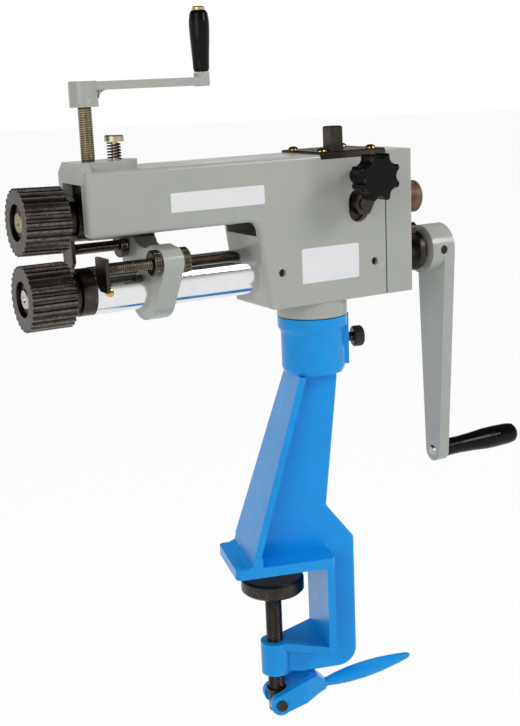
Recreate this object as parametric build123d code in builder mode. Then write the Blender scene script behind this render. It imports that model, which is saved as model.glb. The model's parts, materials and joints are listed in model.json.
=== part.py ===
"""Sheet metal crimper: a hand cranked bench machine, clamped to a bench top.

Frame: the origin is on the clamp screw's axis, on the underside of the jaw plate.
The head lies along X with its rolls at -X and its crank at +X. Z is up.
Head sizes are stations from the swivel axis; heights are above the jaw plate's underside.
"""
import os
from math import atan, cos, degrees, hypot, pi, radians, sin, sqrt

from build123d import *

os.makedirs("parts", exist_ok=True)

# clearances
RUN_FIT = 0.05
SNUG = 0.02
GAP = 0.35
SPIGOT_LIFT = 0.3

# stand and swivel
STAND_TURN = -15.0
CLAMP_REACH = 45.0
TURN_COS = cos(radians(STAND_TURN))
TURN_SIN = sin(radians(STAND_TURN))
SWIVEL_X = CLAMP_REACH * TURN_COS
SWIVEL_Y = CLAMP_REACH * TURN_SIN
SPIGOT_RADIUS = 20.0
NECK_RADIUS = 30.3
NECK_FOOT = 222.0
SOCKET_RADIUS = 27.5
SOCKET_RIM = 221.0
SOCKET_FLARE = 207.0
SOCKET_RIM_FOOT = 212.0
SOCKET_RIM_RADIUS = 30.0
SOCKET_BOTTOM = 170.0
SOCKET_ROUND = 6.0
SOCKET_FLOOR = 178.0
LOCK_PAD_FACE = 30.5
LOCK_PAD_HALF = 7.0
LOCK_HEIGHT = 198.0
LOCK_RADIUS = 4.0
LOCK_HEAD_RADIUS = 8.75
LOCK_NECK_END = 36.0
LOCK_HEAD_END = 45.0
FLANGE_TOP_X = -19.5
FLANGE_TOP_Z = 172.0
FLANGE_FOOT_X = -69.4
FLANGE_FOOT_Z = 17.0
FLANGE_THICK = 6.0
FLANGE_TOP_HALF = 23.3
FLANGE_FOOT_HALF = 34.9
WEB_HALF = 7.0
WEB_ROUND = 3.0
WEB_ROUND_LIMIT = 5.0
PILLAR_STEP = 8.0
SPINE_SHOULDER = 6.0
PILLAR_BACK_TOP_X = 19.3
PILLAR_WAIST_X = 6.1
PILLAR_WAIST_Z = 47.7
SPINE_BACK_X = 31.0
SPINE_BACK_TOP_Z = 15.0
SPINE_INNER_X = -2.7
SPINE_FLANGE = 7.0
SPINE_FLANGE_HALF = 31.5
SPINE_BOTTOM = -110.0
SPINE_CORNER = 17.0
JAW_FRONT_X = -85.3
JAW_HALF = 35.0
JAW_THICK = 9.0
JAW_ROUND = 5.0
JAW_FILLET = 8.0
ARM_TOP = -77.0
ARM_THICK = 7.0
ARM_TIP_HALF = 11.0
BOSS_RADIUS = 13.0
BOSS_BOTTOM = -107.4

# bench clamp
THREAD_RADIUS = 7.0
PAD_RADIUS = 28.25
PAD_TOP_Z = -13.5
PAD_THICK = 13.9
PAD_HUB_RADIUS = 13.0
PAD_HUB_END = -33.0
PAD_EDGE = 2.0
TIP_RADIUS = 5.0
TIP_TOP = -19.0
COLLAR_TOP = -123.5
COLLAR_BOTTOM = -126.5
COLLAR_RADIUS = 9.0
EYE_BOTTOM = -146.0
EYE_RADIUS = 7.5
HINGE_Z = -134.5
HINGE_PIN_RADIUS = 3.0
HINGE_PIN_HEAD = 5.0
HINGE_PIN_HEAD_THICK = 1.5
FORK_HALF = 17.0
FORK_SLOT_HALF = 10.0
FORK_END_RADIUS = 9.5
FORK_SHOULDER_X = 24.0
FORK_TOP_Z = -114.5
FORK_BODY_X = 37.0
FORK_BODY_BOTTOM_Z = -133.0
FORK_SLOT_END = 31.0
HANDLE_ROOT_X = 45.0
HANDLE_ROOT_Z = -127.5
HANDLE_TIP_X = 130.0
HANDLE_TIP_Z = -113.2
HANDLE_NECK_RADIUS = 4.2
HANDLE_RADIUS = 7.5
HANDLE_TIP_RADIUS = 2.2

# head casting
HEAD_BOTTOM = 236.0
HEAD_HALF = 31.0
HEAD_TOP = 358.0
BEAM_BOTTOM = 309.0
BEAM_FRONT = -210.0
BEAM_WALL = 6.0
BEAM_NOSE_WALL = 8.0
CEILING = 348.5
CHANNEL_HALF = HEAD_HALF - BEAM_WALL
WINDOW_HALF = 19.5
WINDOW_CUT = 20.0
THROAT_FOOT_X = -57.5
THROAT_HEAD_X = -67.0
THROAT_ROUND = 8.0
SILL = 296.6
CAVITY_FRONT = -38.0
CAVITY_FLOOR = 246.0
WEB_FRONT = 37.0
SPLIT = 57.5
SPLIT_BEVEL = 0.8
HEAD_REAR = 85.0
TOP_EDGE = 3.0
FRONT_EDGE = 5.0
BODY_EDGE = 4.0
NOSE_PAD_TOP = 364.5
NOSE_PAD_HALF = 16.5
NOSE_PAD_REAR = -156.0
COVER_SIDE = 3.4
COVER_FLOOR = 2.2
COVER_ROOF = 5.0
COVER_BACK = 5.0
PLATE_FRONT = -6.2
PLATE_SEAT = 354.0
PLATE_THICK = 6.0
PLATE_EDGE = 0.8
COVER_SCREW_MID = 24.5
COVER_SCREW_LONG = 49.0
COVER_SCREW_WIDE = 44.0
COVER_SCREW_RADIUS = 2.0
COVER_SCREW_HEAD = 4.6
COVER_SCREW_CROWN = 3.0
COVER_SCREW_TIP = 0.5
HATCH_FRONT = 3.0
HATCH_REAR = 53.0
HATCH_HALF = 19.5
PORT_X = 30.0
PORT_Z = 314.0
PORT_WIDTH = 19.5
PORT_HEIGHT = 28.0
TUBE_SCREW_FRONT_X = -46.0
TUBE_SCREW_REAR_X = 45.3
TUBE_SCREW_HOLE = 3.3
TUBE_SCREW_RADIUS = 3.25
TUBE_SCREW_OUTER = 27.0

# shafts
LOWER_Z = 265.5
SHAFT_CENTRES = 50.0
PIVOT_X = 31.0
PIVOT_Z = LOWER_Z + SHAFT_CENTRES
ROLL_RADIUS = 25.5
ROLL_FRONT = -256.0
ROLL_LENGTH = 35.0
ROLL_GAP = 6.6
ROLL_MID = ROLL_FRONT + ROLL_LENGTH / 2
ROLL_BACK = ROLL_FRONT + ROLL_LENGTH
TILT = atan((ROLL_GAP + 2 * ROLL_RADIUS - SHAFT_CENTRES) / (PIVOT_X - ROLL_MID))
FLUTES = 28
FLUTE_DEPTH = 1.7
CREST_SHARE = 0.34
ROOT_SHARE = 0.3
ROLL_SINK_RADIUS = 14.0
ROLL_SINK_DEPTH = 8.0
SEAT_RADIUS = 9.5
JOURNAL_RADIUS = 10.0
THREAD_END_RADIUS = 8.0
THREAD_END_INSET = 1.5
CENTRE_RADIUS = 2.6
CENTRE_SLOPE = 0.6
CENTRE_DEPTH = 3.0
NUT_FLATS = 22.0
NUT_THICK = 5.0
SHOULDER_RADIUS = 14.0
UPPER_SPACER_END = -212.35
UPPER_BODY_END = 15.0
REAR_JOURNAL_RADIUS = 11.0
UPPER_GEAR_SEAT = 12.0
UPPER_TAIL_RADIUS = 14.0
UPPER_TAIL_END = 110.0
LOWER_SHOULDER_END = -219.35
LOWER_TAIL_RADIUS = 9.0
LOWER_TAIL_FRONT = 76.5
LOWER_TAIL_END = 141.0
GEAR_FRONT = 60.5
GEAR_WIDTH = 16.0
GEAR_TEETH = 18
GEAR_ROOT = 20.6
GEAR_PITCH = 24.4
GEAR_TIP = 26.8
TOOTH_ROOT_WIDTH = 4.8
TOOTH_PITCH_WIDTH = 3.2
TOOTH_TIP_WIDTH = 1.8
KEY_SIDE = 5.0
KEY_LENGTH = 14.0

# lower tube and bushes
TUBE_RADIUS = 19.0
TUBE_BORE = 14.0
TUBE_FRONT = -202.0
TUBE_REAR = 57.0
FRONT_BUSH_FACE = -219.0
FRONT_BUSH_STEP = -214.0
FRONT_BUSH_RADIUS = 15.5
FRONT_COLLAR_RADIUS = 18.5
FRONT_BUSH_REAR = -180.0
REAR_BUSH_FRONT = 27.0
COVER_BUSH_RADIUS = 12.0
COVER_BUSH_FRONT = 77.0
COVER_BUSH_FLANGE = 15.0
COVER_BUSH_REAR = 87.0
TAIL_HOLE_RADIUS = 17.5
TAIL_HOLE_DROP = 1.0
OILER_X = -193.0
OILER_RADIUS = 3.0
OILER_LENGTH = 7.0
CAP_SCREW_Y = 25.0
CAP_SCREW_Z = 289.0
CAP_SCREW_RADIUS = 3.0
CAP_SCREW_DEPTH = 15.0
CAP_HEAD_RADIUS = 5.0
CAP_HEAD = 6.0
CAP_BOSS_RADIUS = 5.6
CAP_SOCKET = 2.5

# upper bearings
BLOCK_HALF_LENGTH = 13.0
BLOCK_HALF_WIDTH = 19.0
BLOCK_HALF_HEIGHT = 17.0
BUSH_RADIUS = 14.0
PIVOT_NOSE_RADIUS = 4.0
PIVOT_NOSE_END = 14.5
PIVOT_STUD_RADIUS = 5.0
PIVOT_STUD_END = 39.5
PIVOT_NUT_FLATS = 17.0
PIVOT_NUT_IN = HEAD_HALF + GAP
PIVOT_NUT_THICK = 7.0
YOKE_FRONT = 14.0
YOKE_REAR = 48.0
YOKE_CHEEK_IN = 19.5
YOKE_CHEEK_OUT = 24.6
YOKE_BOTTOM = 300.0
YOKE_BRIDGE = 342.0
YOKE_TOP = 348.0
SLOT_PLAY = 0.12
SLOT_LENGTH = 16.0
POST_X = 26.0
POST_RADIUS = 9.0
POST_SQUARE = 12.0
POST_TOP = 379.0
POST_FLANGE_RADIUS = 12.0
POST_FLANGE_BOTTOM = 350.5
POST_ECCENTRIC = 3.0
POST_PIN_RADIUS = 4.0
POST_PIN_BOTTOM = 343.0
FRONT_BLOCK_FACE = -199.6
FRONT_BLOCK_REAR = -148.0
FRONT_BLOCK_HALF = 24.5
FRONT_BLOCK_ROUND = 17.5
FRONT_BLOCK_WAIST = -2.0
FRONT_BLOCK_NECK = sqrt(FRONT_BLOCK_ROUND**2 - FRONT_BLOCK_WAIST**2)
FRONT_NOSE_FACE = -212.0
FRONT_NOSE_RADIUS = 17.2
LIFT_X = -174.5
LIFT_RADIUS = 2.5
LIFT_HEAD_RADIUS = 7.5
LIFT_HEAD_BOTTOM = 378.3
LIFT_HEAD_TOP = 383.0
LIFT_THREAD = 9.0
LIFT_SLOT_PLAY = 2.6
LIFT_HOLE_RISE = 36.0
SPRING_RADIUS = 4.9
WIRE_RADIUS = 0.6
SPRING_TURNS = 5.5
SPRING_SEAT = 0.1
SPRING_SAMPLES = 440

# pressure screw and its crank
SCREW_X = -195.0
SCREW_RADIUS = 5.0
BUTTON_RADIUS = 7.0
BUTTON_BOTTOM = 339.9
BUTTON_TOP = 342.9
SCREW_TIP_RADIUS = 3.5
SCREW_TIP_END = 341.4
SCREW_TOP = 421.0
CRANK_HUB_RADIUS = 11.0
CRANK_HUB_BOTTOM = 405.0
CRANK_TOP = 424.0
CRANK_REACH = 100.0
CRANK_THICK = 7.0
CRANK_BLEND = 6.0
CRANK_ROOT_HALF = 8.0
CRANK_END_RADIUS = 6.3
CRANK_BOSS_TOP = 427.0
CROSS_PIN_Z = 409.5
CROSS_PIN_RADIUS = 2.0
GRIP_BOTTOM = CRANK_BOSS_TOP + GAP
GRIP_WAIST = GRIP_BOTTOM + 8.65
GRIP_BELLY = GRIP_WAIST + 30.0
GRIP_TOP = GRIP_BELLY + 8.0
GRIP_FOOT_RADIUS = 5.6
GRIP_WAIST_RADIUS = 6.6
GRIP_BELLY_RADIUS = 8.0
GRIP_CROWN_RADIUS = 5.6
GRIP_BOLT_RADIUS = 3.0
GRIP_BOLT_HEAD = 4.9
GRIP_BOLT_CROWN = 2.65
GRIP_BOLT_TOP = GRIP_TOP + GAP + GRIP_BOLT_CROWN

# main crank
THRUST_FRONT = 104.0
THRUST_STEP = 110.0
THRUST_RADIUS = 18.3
THRUST_BOSS_RADIUS = 12.0
ARM_HUB_FRONT = 115.0
ARM_PLATE_FRONT = 128.5
ARM_REAR = 139.5
ARM_HUB_RADIUS = 21.5
ARM_REACH = 192.0
ARM_END_RADIUS = 10.0
ARM_SCREW_X = 127.0
ARM_SCREW_RADIUS = 4.0
ARM_SCREW_RECESS = 2.0
HANDGRIP_FRONT = ARM_REAR + 1.0
HANDGRIP_REAR = 226.0
HANDGRIP_BELLY = 198.0
HANDGRIP_WAIST = HANDGRIP_FRONT + 18.0
HANDGRIP_SHOULDER = HANDGRIP_FRONT + 34.0
HANDGRIP_NECK_RADIUS = 8.0
HANDGRIP_MID_RADIUS = 8.9
HANDGRIP_BELLY_RADIUS = 10.4
HANDGRIP_END_RADIUS = 9.2
HANDGRIP_SINK_RADIUS = 6.4
HANDGRIP_SINK = 6.0
HANDGRIP_BOLT_RADIUS = 4.0
HANDGRIP_BOLT_HEAD = 6.0
RIVET_RADIUS = 3.5
RIVET_THICK = 1.7

# star knob
STAR_X = 25.0
STAR_Z = 339.5
STAR_STUD_RADIUS = 4.0
STAR_STUD_TIP = YOKE_CHEEK_OUT + GAP
STAR_HUB_FOOT = 37.0
STAR_HUB_RADIUS = 7.5
STAR_BACK = 55.5
STAR_FACE = 72.0
STAR_RADIUS = 20.0
STAR_LOBES = 8
STAR_SCALLOP_RADIUS = 6.4
STAR_SCALLOP_CIRCLE = 22.4
STAR_LOBE_ROUND = 2.2
STAR_EDGE = 1.6
STAR_BORE_CAP = 8.0
STAR_STUD_PROUD = 7.5

# sheet guide
GUIDE_ROLL = 7.2
GUIDE_REACH = 32.0
GUIDE_RISE = 25.4
GUIDE_FRONT = -157.5
GUIDE_THICK = 17.0
GUIDE_RING_RADIUS = 28.5
GUIDE_EAR_RADIUS = 10.2
GUIDE_SCOOP_RADIUS = 29.5
GUIDE_SCOOP_Z = 60.0
GUIDE_ROD_RADIUS = 4.0
GUIDE_NUT_RADIUS = 9.75
GUIDE_NUT_THICK = 6.5
GUIDE_NUT_EDGE = 1.0
FENCE_FRONT = -206.0
FENCE_THICK = 3.0
FENCE_RISE = 9.0
FENCE_DROP = 16.5
FENCE_IN = 8.0
FENCE_OUT = 12.0
FENCE_CUT = 7.0
FENCE_ROD_TAIL = 3.0
GUIDE_SCREW_RADIUS = 3.0


def across(x):
    """Section plane of the head at a station: local x is Y, local y is Z, normal is +X."""
    return Plane(origin=(SWIVEL_X + x, SWIVEL_Y, 0), x_dir=(0, 1, 0), z_dir=(1, 0, 0))


def beside(y):
    """Side plane of the head: local x is the station, local y is Z, normal is -Y."""
    return Plane(origin=(SWIVEL_X, SWIVEL_Y + y, 0), x_dir=(1, 0, 0), z_dir=(0, -1, 0))


def level(z):
    """Plan plane of the head, with local x along the stations."""
    return Plane(origin=(SWIVEL_X, SWIVEL_Y, z), x_dir=(1, 0, 0), z_dir=(0, 0, 1))


def stand_level(z):
    """Plan plane of the stand, turned with it about the swivel axis."""
    return Plane(origin=(SWIVEL_X, SWIVEL_Y, z), x_dir=(TURN_COS, TURN_SIN, 0), z_dir=(0, 0, 1))


def stand_side(y):
    """Side plane of the stand."""
    spot = (SWIVEL_X - y * TURN_SIN, SWIVEL_Y + y * TURN_COS, 0)
    return Plane(origin=spot, x_dir=(TURN_COS, TURN_SIN, 0), z_dir=(TURN_SIN, -TURN_COS, 0))


def upright(x, y=0.0):
    """Lathe plane for a vertical axis at a station of the head: local x is Z."""
    return Plane(origin=(SWIVEL_X + x, SWIVEL_Y + y, 0), x_dir=(0, 0, 1), z_dir=(0, -1, 0))


def sideways(x, z):
    """Lathe plane for an axis along Y: local x is Y."""
    return Plane(origin=(SWIVEL_X + x, SWIVEL_Y, z), x_dir=(0, 1, 0), z_dir=(1, 0, 0))


def spindle_across(station):
    """Section plane of the tilted upper spindle, normal along it towards the crank."""
    spot = SPINDLE.from_local_coords(Vector(station - PIVOT_X, 0, 0))
    return Plane(origin=spot, x_dir=(0, 1, 0), z_dir=SPINDLE.x_dir)


def axle_across(station):
    """Section plane of the lower shaft, normal along it towards the crank."""
    return Plane(origin=(SWIVEL_X + station, SWIVEL_Y, LOWER_Z), x_dir=(0, 1, 0), z_dir=(1, 0, 0))


AXLE = Plane(origin=(SWIVEL_X, SWIVEL_Y, LOWER_Z), x_dir=(1, 0, 0), z_dir=(0, -1, 0))
SPINDLE = Plane(
    origin=(SWIVEL_X + PIVOT_X, SWIVEL_Y, PIVOT_Z),
    x_dir=(cos(TILT), 0, -sin(TILT)),
    z_dir=(0, -1, 0),
)
LIFT_HOLE_X = SPINDLE.from_local_coords(Vector(LIFT_X - PIVOT_X, LIFT_HOLE_RISE, 0)).X - SWIVEL_X
CLAMP = Plane(origin=(0, 0, 0), x_dir=(0, 0, 1), z_dir=(TURN_SIN, -TURN_COS, 0))
LOCK = Plane(
    origin=(SWIVEL_X, SWIVEL_Y, LOCK_HEIGHT),
    x_dir=(TURN_COS, TURN_SIN, 0),
    z_dir=(TURN_SIN, -TURN_COS, 0),
)


def lathe(plane, *profile):
    """Turned piece: (station, radius) points about the plane's local x axis."""
    with BuildPart() as turned:
        with BuildSketch(plane):
            with BuildLine():
                Polyline(*profile, close=True)
            make_face()
        revolve(axis=Axis(plane.origin, plane.x_dir))
    return turned


def rod(plane, start, end, radius, bore=0.0):
    """Plain turned rod or sleeve about the plane's local x axis."""
    return lathe(plane, (start, bore), (start, radius), (end, radius), (end, bore))


def prism(plane, amount, *profile):
    """Straight prism of a closed outline, extruded along the plane's normal."""
    with BuildPart() as body:
        with BuildSketch(plane):
            with BuildLine():
                Polyline(*profile, close=True)
            make_face()
        extrude(amount=amount)
    return body


def bar(plane, half, *profile):
    """Straight prism of a closed outline, extruded by half each way."""
    with BuildPart() as body:
        with BuildSketch(plane):
            with BuildLine():
                Polyline(*profile, close=True)
            make_face()
        extrude(amount=half, both=True)
    return body


def brick(x0, x1, y0, y1, z0, z1):
    """Box of the head between stations, sides and heights."""
    with BuildPart() as body:
        with BuildSketch(level(z0)):
            with Locations(((x0 + x1) / 2, (y0 + y1) / 2)):
                Rectangle(x1 - x0, y1 - y0)
        extrude(amount=z1 - z0)
    return body


def hexagon(plane, flats, thick, bore):
    """Hexagon nut standing on a plane."""
    with BuildPart() as nut:
        with BuildSketch(plane):
            RegularPolygon(flats / 2, 6, major_radius=False)
            Circle(bore, mode=Mode.SUBTRACT)
        extrude(amount=thick)
    return nut


def drill(plane, start, end, radius):
    """Drills a round hole in the piece being built."""
    add(rod(plane, start, end, radius).part, mode=Mode.SUBTRACT)


def save(body, name):
    """Label a piece and write it out."""
    body.part.label = name
    export_step(body.part, "parts/" + name + ".step")


# ---------------------------------------------------------------- stand
FLANGE_LENGTH = hypot(FLANGE_TOP_X - FLANGE_FOOT_X, FLANGE_TOP_Z - FLANGE_FOOT_Z)
FLANGE_FACE = Plane(
    origin=stand_side(0).from_local_coords(Vector(FLANGE_TOP_X, FLANGE_TOP_Z, 0)),
    x_dir=(-TURN_SIN, TURN_COS, 0),
    z_dir=(
        -TURN_COS * (FLANGE_TOP_Z - FLANGE_FOOT_Z) / FLANGE_LENGTH,
        -TURN_SIN * (FLANGE_TOP_Z - FLANGE_FOOT_Z) / FLANGE_LENGTH,
        (FLANGE_TOP_X - FLANGE_FOOT_X) / FLANGE_LENGTH,
    ),
)
socket_shape = lathe(
    upright(0),
    (SOCKET_BOTTOM, 0),
    (SOCKET_BOTTOM, SOCKET_RADIUS - SOCKET_ROUND),
    (SOCKET_BOTTOM + SOCKET_ROUND * 0.3, SOCKET_RADIUS - SOCKET_ROUND * 0.3),
    (SOCKET_BOTTOM + SOCKET_ROUND, SOCKET_RADIUS),
    (SOCKET_FLARE, SOCKET_RADIUS),
    (SOCKET_RIM_FOOT, SOCKET_RIM_RADIUS),
    (SOCKET_RIM, SOCKET_RIM_RADIUS),
    (SOCKET_RIM, 0),
)
side_frame = stand_side(0)
with BuildPart() as web_shape:
    with BuildSketch(side_frame) as web_outline:
        with BuildLine():
            Polyline(
                (FLANGE_TOP_X + FLANGE_THICK / 2, FLANGE_TOP_Z + FLANGE_THICK),
                (FLANGE_FOOT_X + FLANGE_THICK / 2, FLANGE_FOOT_Z),
                (FLANGE_FOOT_X + FLANGE_THICK / 2, JAW_THICK / 2),
                (SPINE_INNER_X + SPINE_FLANGE / 2, JAW_THICK / 2),
                (SPINE_INNER_X + SPINE_FLANGE / 2, ARM_TOP - ARM_THICK / 2),
                (-CLAMP_REACH, ARM_TOP - ARM_THICK / 2),
                (-CLAMP_REACH, BOSS_BOTTOM + 1.0),
                (-CLAMP_REACH + BOSS_RADIUS, BOSS_BOTTOM + 1.0),
                (-CLAMP_REACH + 2 * BOSS_RADIUS, SPINE_BOTTOM),
                (SPINE_BACK_X, SPINE_BOTTOM),
                (SPINE_BACK_X, SPINE_BACK_TOP_Z),
                (PILLAR_WAIST_X, PILLAR_WAIST_Z),
                (PILLAR_BACK_TOP_X, FLANGE_TOP_Z - PILLAR_STEP),
                (PILLAR_BACK_TOP_X, FLANGE_TOP_Z + FLANGE_THICK),
                close=True,
            )
        make_face()
        for corner_x, corner_z, corner_round in (
            (SPINE_BACK_X, SPINE_BOTTOM, SPINE_CORNER),
            (SPINE_BACK_X, SPINE_BACK_TOP_Z, SPINE_SHOULDER),
            (PILLAR_WAIST_X, PILLAR_WAIST_Z, SPINE_SHOULDER),
        ):
            fillet(web_outline.vertices().sort_by_distance((corner_x, corner_z, 0))[0], corner_round)
    extrude(amount=WEB_HALF, both=True)
    back_edges = []
    for edge in web_shape.edges():
        middle = side_frame.to_local_coords(edge.position_at(0.5))
        if abs(middle.Z) > WEB_HALF - SNUG and middle.X > WEB_ROUND_LIMIT and middle.Y < FLANGE_TOP_Z:
            back_edges.append(edge)
    fillet(back_edges, WEB_ROUND)
jaw_fillet_shape = bar(
    stand_side(0),
    FLANGE_FOOT_HALF,
    (FLANGE_FOOT_X - JAW_FILLET * 0.75, JAW_THICK),
    (FLANGE_FOOT_X - JAW_FILLET * 0.12, JAW_THICK + JAW_FILLET * 0.3),
    (FLANGE_FOOT_X + JAW_FILLET * 0.25, FLANGE_FOOT_Z + JAW_FILLET * 0.35),
    (FLANGE_FOOT_X + JAW_FILLET, FLANGE_FOOT_Z),
    (FLANGE_FOOT_X + JAW_FILLET, JAW_THICK - 1.0),
    (FLANGE_FOOT_X - JAW_FILLET * 0.75, JAW_THICK - 1.0),
)
with BuildPart() as stand_casting:
    with BuildSketch(FLANGE_FACE):
        with BuildLine():
            Polyline(
                (-FLANGE_TOP_HALF, 0),
                (FLANGE_TOP_HALF, 0),
                (FLANGE_FOOT_HALF, FLANGE_LENGTH),
                (-FLANGE_FOOT_HALF, FLANGE_LENGTH),
                close=True,
            )
        make_face()
    extrude(amount=-FLANGE_THICK)
    with BuildSketch(stand_level(0)):
        with Locations(((JAW_FRONT_X + SPINE_INNER_X + SPINE_FLANGE) / 2, 0)):
            Rectangle(SPINE_INNER_X + SPINE_FLANGE - JAW_FRONT_X, 2 * JAW_HALF)
    extrude(amount=JAW_THICK)
    fillet(stand_casting.edges().filter_by(Axis.Z).group_by(SortBy.LENGTH)[0], JAW_ROUND)
    add(jaw_fillet_shape.part)
    with BuildSketch(stand_side(0)):
        with Locations((SPINE_INNER_X + SPINE_FLANGE / 2, (JAW_THICK + ARM_TOP - ARM_THICK) / 2)):
            Rectangle(SPINE_FLANGE, JAW_THICK - ARM_TOP + ARM_THICK)
    extrude(amount=SPINE_FLANGE_HALF, both=True)
    with BuildSketch(stand_level(ARM_TOP)):
        with BuildLine():
            Polyline(
                (SPINE_INNER_X + SPINE_FLANGE, -SPINE_FLANGE_HALF),
                (SPINE_INNER_X + SPINE_FLANGE, SPINE_FLANGE_HALF),
                (SPINE_INNER_X, SPINE_FLANGE_HALF),
                (-CLAMP_REACH + BOSS_RADIUS / 2, ARM_TIP_HALF),
                (-CLAMP_REACH + BOSS_RADIUS / 2, -ARM_TIP_HALF),
                (SPINE_INNER_X, -SPINE_FLANGE_HALF),
                close=True,
            )
        make_face()
    extrude(amount=-ARM_THICK)
    with BuildSketch(stand_level(ARM_TOP)):
        with Locations((-CLAMP_REACH, 0)):
            Circle(BOSS_RADIUS)
    extrude(amount=BOSS_BOTTOM - ARM_TOP)
    add(web_shape.part)
    with BuildSketch(stand_side(0)):
        lock_pad_foot = SOCKET_BOTTOM + SOCKET_ROUND
        with Locations(((LOCK_PAD_FACE + SPIGOT_RADIUS) / 2, (lock_pad_foot + SOCKET_RIM) / 2)):
            Rectangle(LOCK_PAD_FACE - SPIGOT_RADIUS, SOCKET_RIM - lock_pad_foot)
    extrude(amount=LOCK_PAD_HALF, both=True)
    add(socket_shape.part)
    drill(upright(0), SOCKET_FLOOR, SOCKET_RIM + 1.0, SPIGOT_RADIUS + RUN_FIT)
    drill(LOCK, SPIGOT_RADIUS / 2, LOCK_PAD_FACE + 1.0, LOCK_RADIUS + RUN_FIT)
    drill(CLAMP, BOSS_BOTTOM - 1.0, ARM_TOP + 1.0, THREAD_RADIUS + RUN_FIT)
save(stand_casting, "stand_casting")

socket_lock_screw = lathe(
    LOCK,
    (SPIGOT_RADIUS + GAP, 0),
    (SPIGOT_RADIUS + GAP, LOCK_RADIUS),
    (LOCK_NECK_END, LOCK_RADIUS),
    (LOCK_NECK_END, LOCK_HEAD_RADIUS - 1.0),
    (LOCK_NECK_END + 1.0, LOCK_HEAD_RADIUS),
    (LOCK_HEAD_END - 1.0, LOCK_HEAD_RADIUS),
    (LOCK_HEAD_END, LOCK_HEAD_RADIUS - 1.0),
    (LOCK_HEAD_END, 0),
)
save(socket_lock_screw, "socket_lock_screw")

# ---------------------------------------------------------------- bench clamp
clamp_pad = lathe(
    CLAMP,
    (PAD_TOP_Z, 0),
    (PAD_TOP_Z, PAD_RADIUS - PAD_EDGE),
    (PAD_TOP_Z - PAD_EDGE, PAD_RADIUS),
    (PAD_TOP_Z - PAD_THICK + PAD_EDGE, PAD_RADIUS),
    (PAD_TOP_Z - PAD_THICK, PAD_RADIUS - PAD_EDGE),
    (PAD_TOP_Z - PAD_THICK, PAD_HUB_RADIUS),
    (PAD_HUB_END, PAD_HUB_RADIUS - 1.0),
    (PAD_HUB_END, TIP_RADIUS + RUN_FIT),
    (TIP_TOP + SPIGOT_LIFT, TIP_RADIUS + RUN_FIT),
    (TIP_TOP + SPIGOT_LIFT, 0),
)
save(clamp_pad, "clamp_pad")

screw_shape = lathe(
    CLAMP,
    (TIP_TOP, 0),
    (TIP_TOP, TIP_RADIUS),
    (PAD_HUB_END - GAP, TIP_RADIUS),
    (PAD_HUB_END - GAP, THREAD_RADIUS),
    (COLLAR_TOP, THREAD_RADIUS),
    (COLLAR_TOP, COLLAR_RADIUS),
    (COLLAR_BOTTOM, COLLAR_RADIUS),
    (COLLAR_BOTTOM, EYE_RADIUS),
    (EYE_BOTTOM + 1.0, EYE_RADIUS),
    (EYE_BOTTOM, EYE_RADIUS - 1.0),
    (EYE_BOTTOM, 0),
)
HINGE = Plane(origin=(0, 0, HINGE_Z), x_dir=(-TURN_SIN, TURN_COS, 0), z_dir=(0, 0, 1))
with BuildPart() as clamp_screw:
    add(screw_shape.part)
    drill(HINGE, -FORK_HALF, FORK_HALF, HINGE_PIN_RADIUS + SNUG)
save(clamp_screw, "clamp_screw")

clamp_lever_pin = lathe(
    HINGE,
    (-FORK_HALF - GAP, 0),
    (-FORK_HALF - GAP - HINGE_PIN_HEAD_THICK, 0),
    (-FORK_HALF - GAP - HINGE_PIN_HEAD_THICK, HINGE_PIN_HEAD),
    (-FORK_HALF - GAP, HINGE_PIN_HEAD),
    (-FORK_HALF - GAP, HINGE_PIN_RADIUS),
    (FORK_HALF + GAP, HINGE_PIN_RADIUS),
    (FORK_HALF + GAP, HINGE_PIN_HEAD),
    (FORK_HALF + GAP + HINGE_PIN_HEAD_THICK, HINGE_PIN_HEAD),
    (FORK_HALF + GAP + HINGE_PIN_HEAD_THICK, 0),
)
save(clamp_lever_pin, "clamp_lever_pin")

LEVER_SIDE = Plane(origin=(0, 0, 0), x_dir=(TURN_COS, TURN_SIN, 0), z_dir=(TURN_SIN, -TURN_COS, 0))
LEVER_PLAN = Plane(origin=(0, 0, EYE_BOTTOM), x_dir=(TURN_COS, TURN_SIN, 0), z_dir=(0, 0, 1))
HANDLE_RUN = hypot(HANDLE_TIP_X - HANDLE_ROOT_X, HANDLE_TIP_Z - HANDLE_ROOT_Z)
HANDLE = Plane(
    origin=LEVER_SIDE.from_local_coords(Vector(HANDLE_ROOT_X, HANDLE_ROOT_Z, 0)),
    x_dir=(
        TURN_COS * (HANDLE_TIP_X - HANDLE_ROOT_X),
        TURN_SIN * (HANDLE_TIP_X - HANDLE_ROOT_X),
        HANDLE_TIP_Z - HANDLE_ROOT_Z,
    ),
    z_dir=(TURN_SIN, -TURN_COS, 0),
)
handle_shape = lathe(
    HANDLE,
    (-6.0, 0),
    (-6.0, HANDLE_NECK_RADIUS),
    (HANDLE_RUN * 0.05, HANDLE_NECK_RADIUS),
    (HANDLE_RUN * 0.14, HANDLE_RADIUS * 0.76),
    (HANDLE_RUN * 0.28, HANDLE_RADIUS * 0.93),
    (HANDLE_RUN * 0.45, HANDLE_RADIUS),
    (HANDLE_RUN * 0.65, HANDLE_RADIUS * 0.9),
    (HANDLE_RUN * 0.85, HANDLE_RADIUS * 0.62),
    (HANDLE_RUN * 0.97, HANDLE_TIP_RADIUS * 1.3),
    (HANDLE_RUN, HANDLE_TIP_RADIUS * 0.6),
    (HANDLE_RUN, 0),
)
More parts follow.
